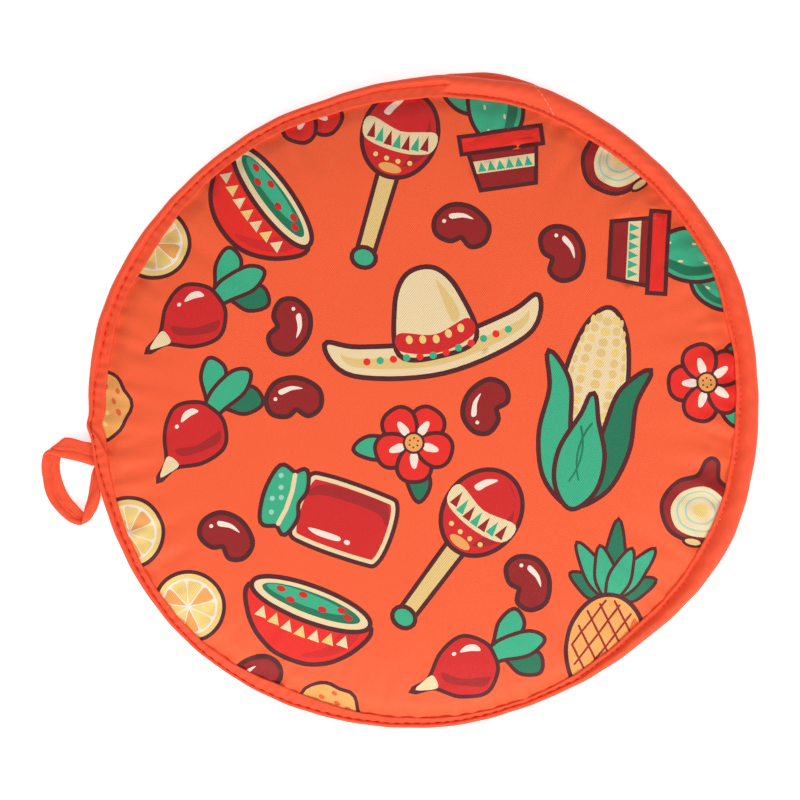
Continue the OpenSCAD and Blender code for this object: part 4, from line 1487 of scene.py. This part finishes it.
def rowOnBand(edge, rise, middle, inset, start, end, above, front, upward=1):
    # a line on a binding's upper or under face, inset mm in from its edge, between two angles
    closed = abs(end - start) >= 360
    count = max(8, int(abs(end - start) * 2.6))
    a = np.radians(np.linspace(start, end, count, endpoint=not closed))

    def at(angle, extra):
        u = inset(angle) + extra
        r = edge(angle) - u
        lie = above(angle) if callable(above) else above
        p = np.stack([r * np.cos(angle), r * np.sin(angle), middle + upward * (rise(angle, u) + lie)], -1)
        return lifted(p) if front else p

    run = at(a, 0.0)
    along = at(a + 0.002, 0.0) - at(a - 0.002, 0.0)
    across = at(a, 0.25) - at(a, -0.25)
    up = np.cross(across, along)
    up = up / np.linalg.norm(up, axis=1, keepdims=True)
    up = np.where(up[:, 2:3] * upward < 0, -up, up)
    return run, up, closed


def bindingSeamIn(a):
    return bandWidth(a) - pouch["seamIn"]


def sunkWhereSewn(a):
    return 0.02 - 0.6 * closedShare(a)  # the tape's own stitches sink out of sight where the rims are sewn


def backSeamIn(a):
    return backBandWidth(a) - pouch["seamIn"]


sewing = {
    "binding": {"Pitch": 0.003, "Stitch Length": 0.0021, "Thread Width": 0.00042, "Stitch Height": 0.00022, "Knot Share": 0.04},
    "closing": {"Pitch": 0.0047, "Stitch Length": 0.0029, "Thread Width": 0.00055, "Stitch Height": 0.0003, "Knot Share": 0.5},
    "join": {"Pitch": 0.0022, "Stitch Length": 0.0015, "Thread Width": 0.00034, "Stitch Height": 0.00018, "Knot Share": 0.8},
    "edge": {"Pitch": 0.0027, "Stitch Length": 0.002, "Thread Width": 0.00042, "Stitch Height": 0.0002, "Knot Share": 0.1},
}

frontStitches = sewnRow("front_binding_stitches", [
    rowOnBand(frontEdge, frontBandTop, frontMiddle, bindingSeamIn, 0, 360, sunkWhereSewn, True),
    rowOnBand(frontEdge, frontUnder, frontMiddle, bindingSeamIn, -mouthHalf, mouthHalf, 0.1, True, -1)],
    Seed=3, **sewing["binding"])
backStitches = sewnRow("back_binding_stitches", [
    rowOnBand(backEdge, backUnderRise, backMiddle, backSeamIn, 0, 360, 0.0, False, -1),
    rowOnBand(backEdge, backTopRise, backMiddle, backSeamIn, -mouthHalf, mouthHalf, 0.1, False)],
    Seed=4, **sewing["binding"])
closingStitches = sewnRow("closing_stitches", [
    rowOnBand(frontEdge, frontBandTop, frontMiddle, closingIn, mouthHalf + 0.6, 360 - mouthHalf - 0.6, 0.06, True),
    rowOnBand(backEdge, backUnderRise, backMiddle, closingIn, mouthHalf + 0.6, 360 - mouthHalf - 0.6, 0.0, False, -1)],
    Seed=5, **sewing["closing"])


def joinLine():
    # the slanted joint between two lengths of the lip's tape
    share = np.linspace(0, 1, 24)
    a = np.radians(58.4 - 4.6 * share)
    u = 0.8 + (bandWidth(a) - pouch["seamIn"] - 1.6) * share
    r = frontEdge(a) - u
    run = lifted(np.stack([r * np.cos(a), r * np.sin(a), frontMiddle + frontBandTop(a, u) + 0.03], -1))
    up = np.stack([0.4 * (share < 0.2) * np.cos(a), 0.4 * (share < 0.2) * np.sin(a), np.ones_like(a)], -1)
    return run, up / np.linalg.norm(up, axis=1, keepdims=True), False


joinStitches = sewnRow("tape_join_stitches", [joinLine()], Seed=6, Thread=paleThreadAndGlintMaterial, **sewing["join"])


def loopRows():
    place, normal = loopSurface(np.full((1, 1), loop["stitchShare"]))
    keep = slice(5, -14)
    along = np.gradient(place[:, 0], axis=0)
    bend = np.linalg.norm(np.gradient(along / np.linalg.norm(along, axis=1, keepdims=True), axis=0), axis=1)
    sink = 0.25 * smooth(bend / 0.12)[keep, None]  # the thread sinks in where the tape folds
    place, normal = place[keep, 0], normal[keep, 0]
    return [(place + normal * (0.32 - sink), normal, False), (place - normal * (0.34 - sink), -normal, False)]


loopStitches = sewnRow("loop_edge_stitches", loopRows(), Seed=7, Thread=loopThreadMaterial, **sewing["edge"])
print("seams sewn")

for piece, slot, nodes in (
        (frontCover, "printed_twill", ("front_cover", "lip_cover")),
        (frontBatting, "batting", ("front_batting", "lip_batting")),
        (frontLining, "lining", ("front_lining", "lip_lining")),
        (frontTape, "bias_tape", ("front_binding", "lip_binding")),
        (frontStitches, "thread", ("front_binding_seam", "lip_binding_seam"))):
    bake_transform(piece)
    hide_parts(*nodes)
for piece, body, slot, nodes in (
        (joinStitches, "front_lip", "thread", ("tape_join_seam",)),
        (backCover, "pouch", "printed_twill", ("back_cover",)),
        (backBatting, "pouch", "batting", ("back_batting",)),
        (backLining, "pouch", "lining", ("back_lining",)),
        (backTape, "pouch", "bias_tape", ("back_binding",)),
        (backStitches, "pouch", "thread", ("back_binding_seam",)),
        (closingStitches, "pouch", "thread", ("closing_seam",))):
    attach(piece, body)
    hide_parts(*nodes)
for piece, slot, nodes in (
        (loopTape, "bias_tape", ("hanging_loop", "loop_tabs")),
        (loopStitches, "thread", ("loop_edge_seam",))):
    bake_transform(piece)
    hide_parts(*nodes)

print("pieces placed, the CAD parts they replace hidden")

# floor, light and camera
studio = {
    "floor": "#FFFFFF",
    "floorGlow": 0.5,        # the white table is lit from below a little, as for a cut-out picture
    "sky": 0.52,
    # softboxes: place in metres, width in metres and watts
    "boxes": [((-1.0, -1.2, 1.1), 0.9, 18.5), ((0.75, -1.35, 1.1), 0.9, 18), ((0.35, 1.3, 1.35), 0.9, 2.5)],
}


def paleFloor():
    made, tree, shader = newMaterial("matt white card")
    shader.inputs["Base Color"].default_value = linear(studio["floor"])
    shader.inputs["Roughness"].default_value = 0.9
    shader.inputs["Specular IOR Level"].default_value = 0.1
    shader.inputs["Emission Color"].default_value = linear(studio["floor"])
    shader.inputs["Emission Strength"].default_value = studio["floorGlow"]
    half = 2500
    floor = makePiece("floor", [(-half, -half, -0.3), (half, -half, -0.3), (half, half, -0.3), (-half, half, -0.3)], [[0, 1, 2, 3]], made)


def studioLight():
    world = bpy.data.worlds.new("soft white room")
    bpy.context.scene.world = world
    world.use_nodes = True
    background = world.node_tree.nodes["Background"]
    background.inputs["Color"].default_value = (1, 1, 1, 1)
    background.inputs["Strength"].default_value = studio["sky"]
    for n, (place, size, power) in enumerate(studio["boxes"]):
        lamp = bpy.data.lights.new("softbox" + str(n), "AREA")
        lamp.energy, lamp.size = power, size
        box = bpy.data.objects.new("softbox" + str(n), lamp)
        box.location = place
        bpy.context.scene.collection.objects.link(box)
        box.rotation_mode = "QUATERNION"
        box.rotation_quaternion = (-box.location).to_track_quat("-Z", "Y")


def photoCamera():
    camera = bpy.data.cameras.new("photo")
    holder = bpy.data.objects.new("photo", camera)
    bpy.context.scene.collection.objects.link(holder)
    turn = math.radians(-photo["turn"])
    right = (math.cos(turn), math.sin(turn))
    up = (-math.sin(turn), math.cos(turn))
    off = [(photo["width"] / 2 - photo["middle"][0]) * photo["scale"], (photo["middle"][1] - photo["width"] / 2) * photo["scale"]]
    holder.location = [(right[n] * off[0] + up[n] * off[1]) * mm for n in (0, 1)] + [(photo["distance"] + photo["height"]) * mm]
    holder.rotation_euler = (0, 0, turn)
    camera.sensor_width = 36
    camera.lens = 36 * photo["distance"] / (photo["width"] * photo["scale"])
    camera.clip_start, camera.clip_end = 0.05, 20
    bpy.context.scene.camera = holder


paleFloor()
studioLight()
photoCamera()
bpy.context.scene.view_settings.view_transform = "Standard"
print("studio set")
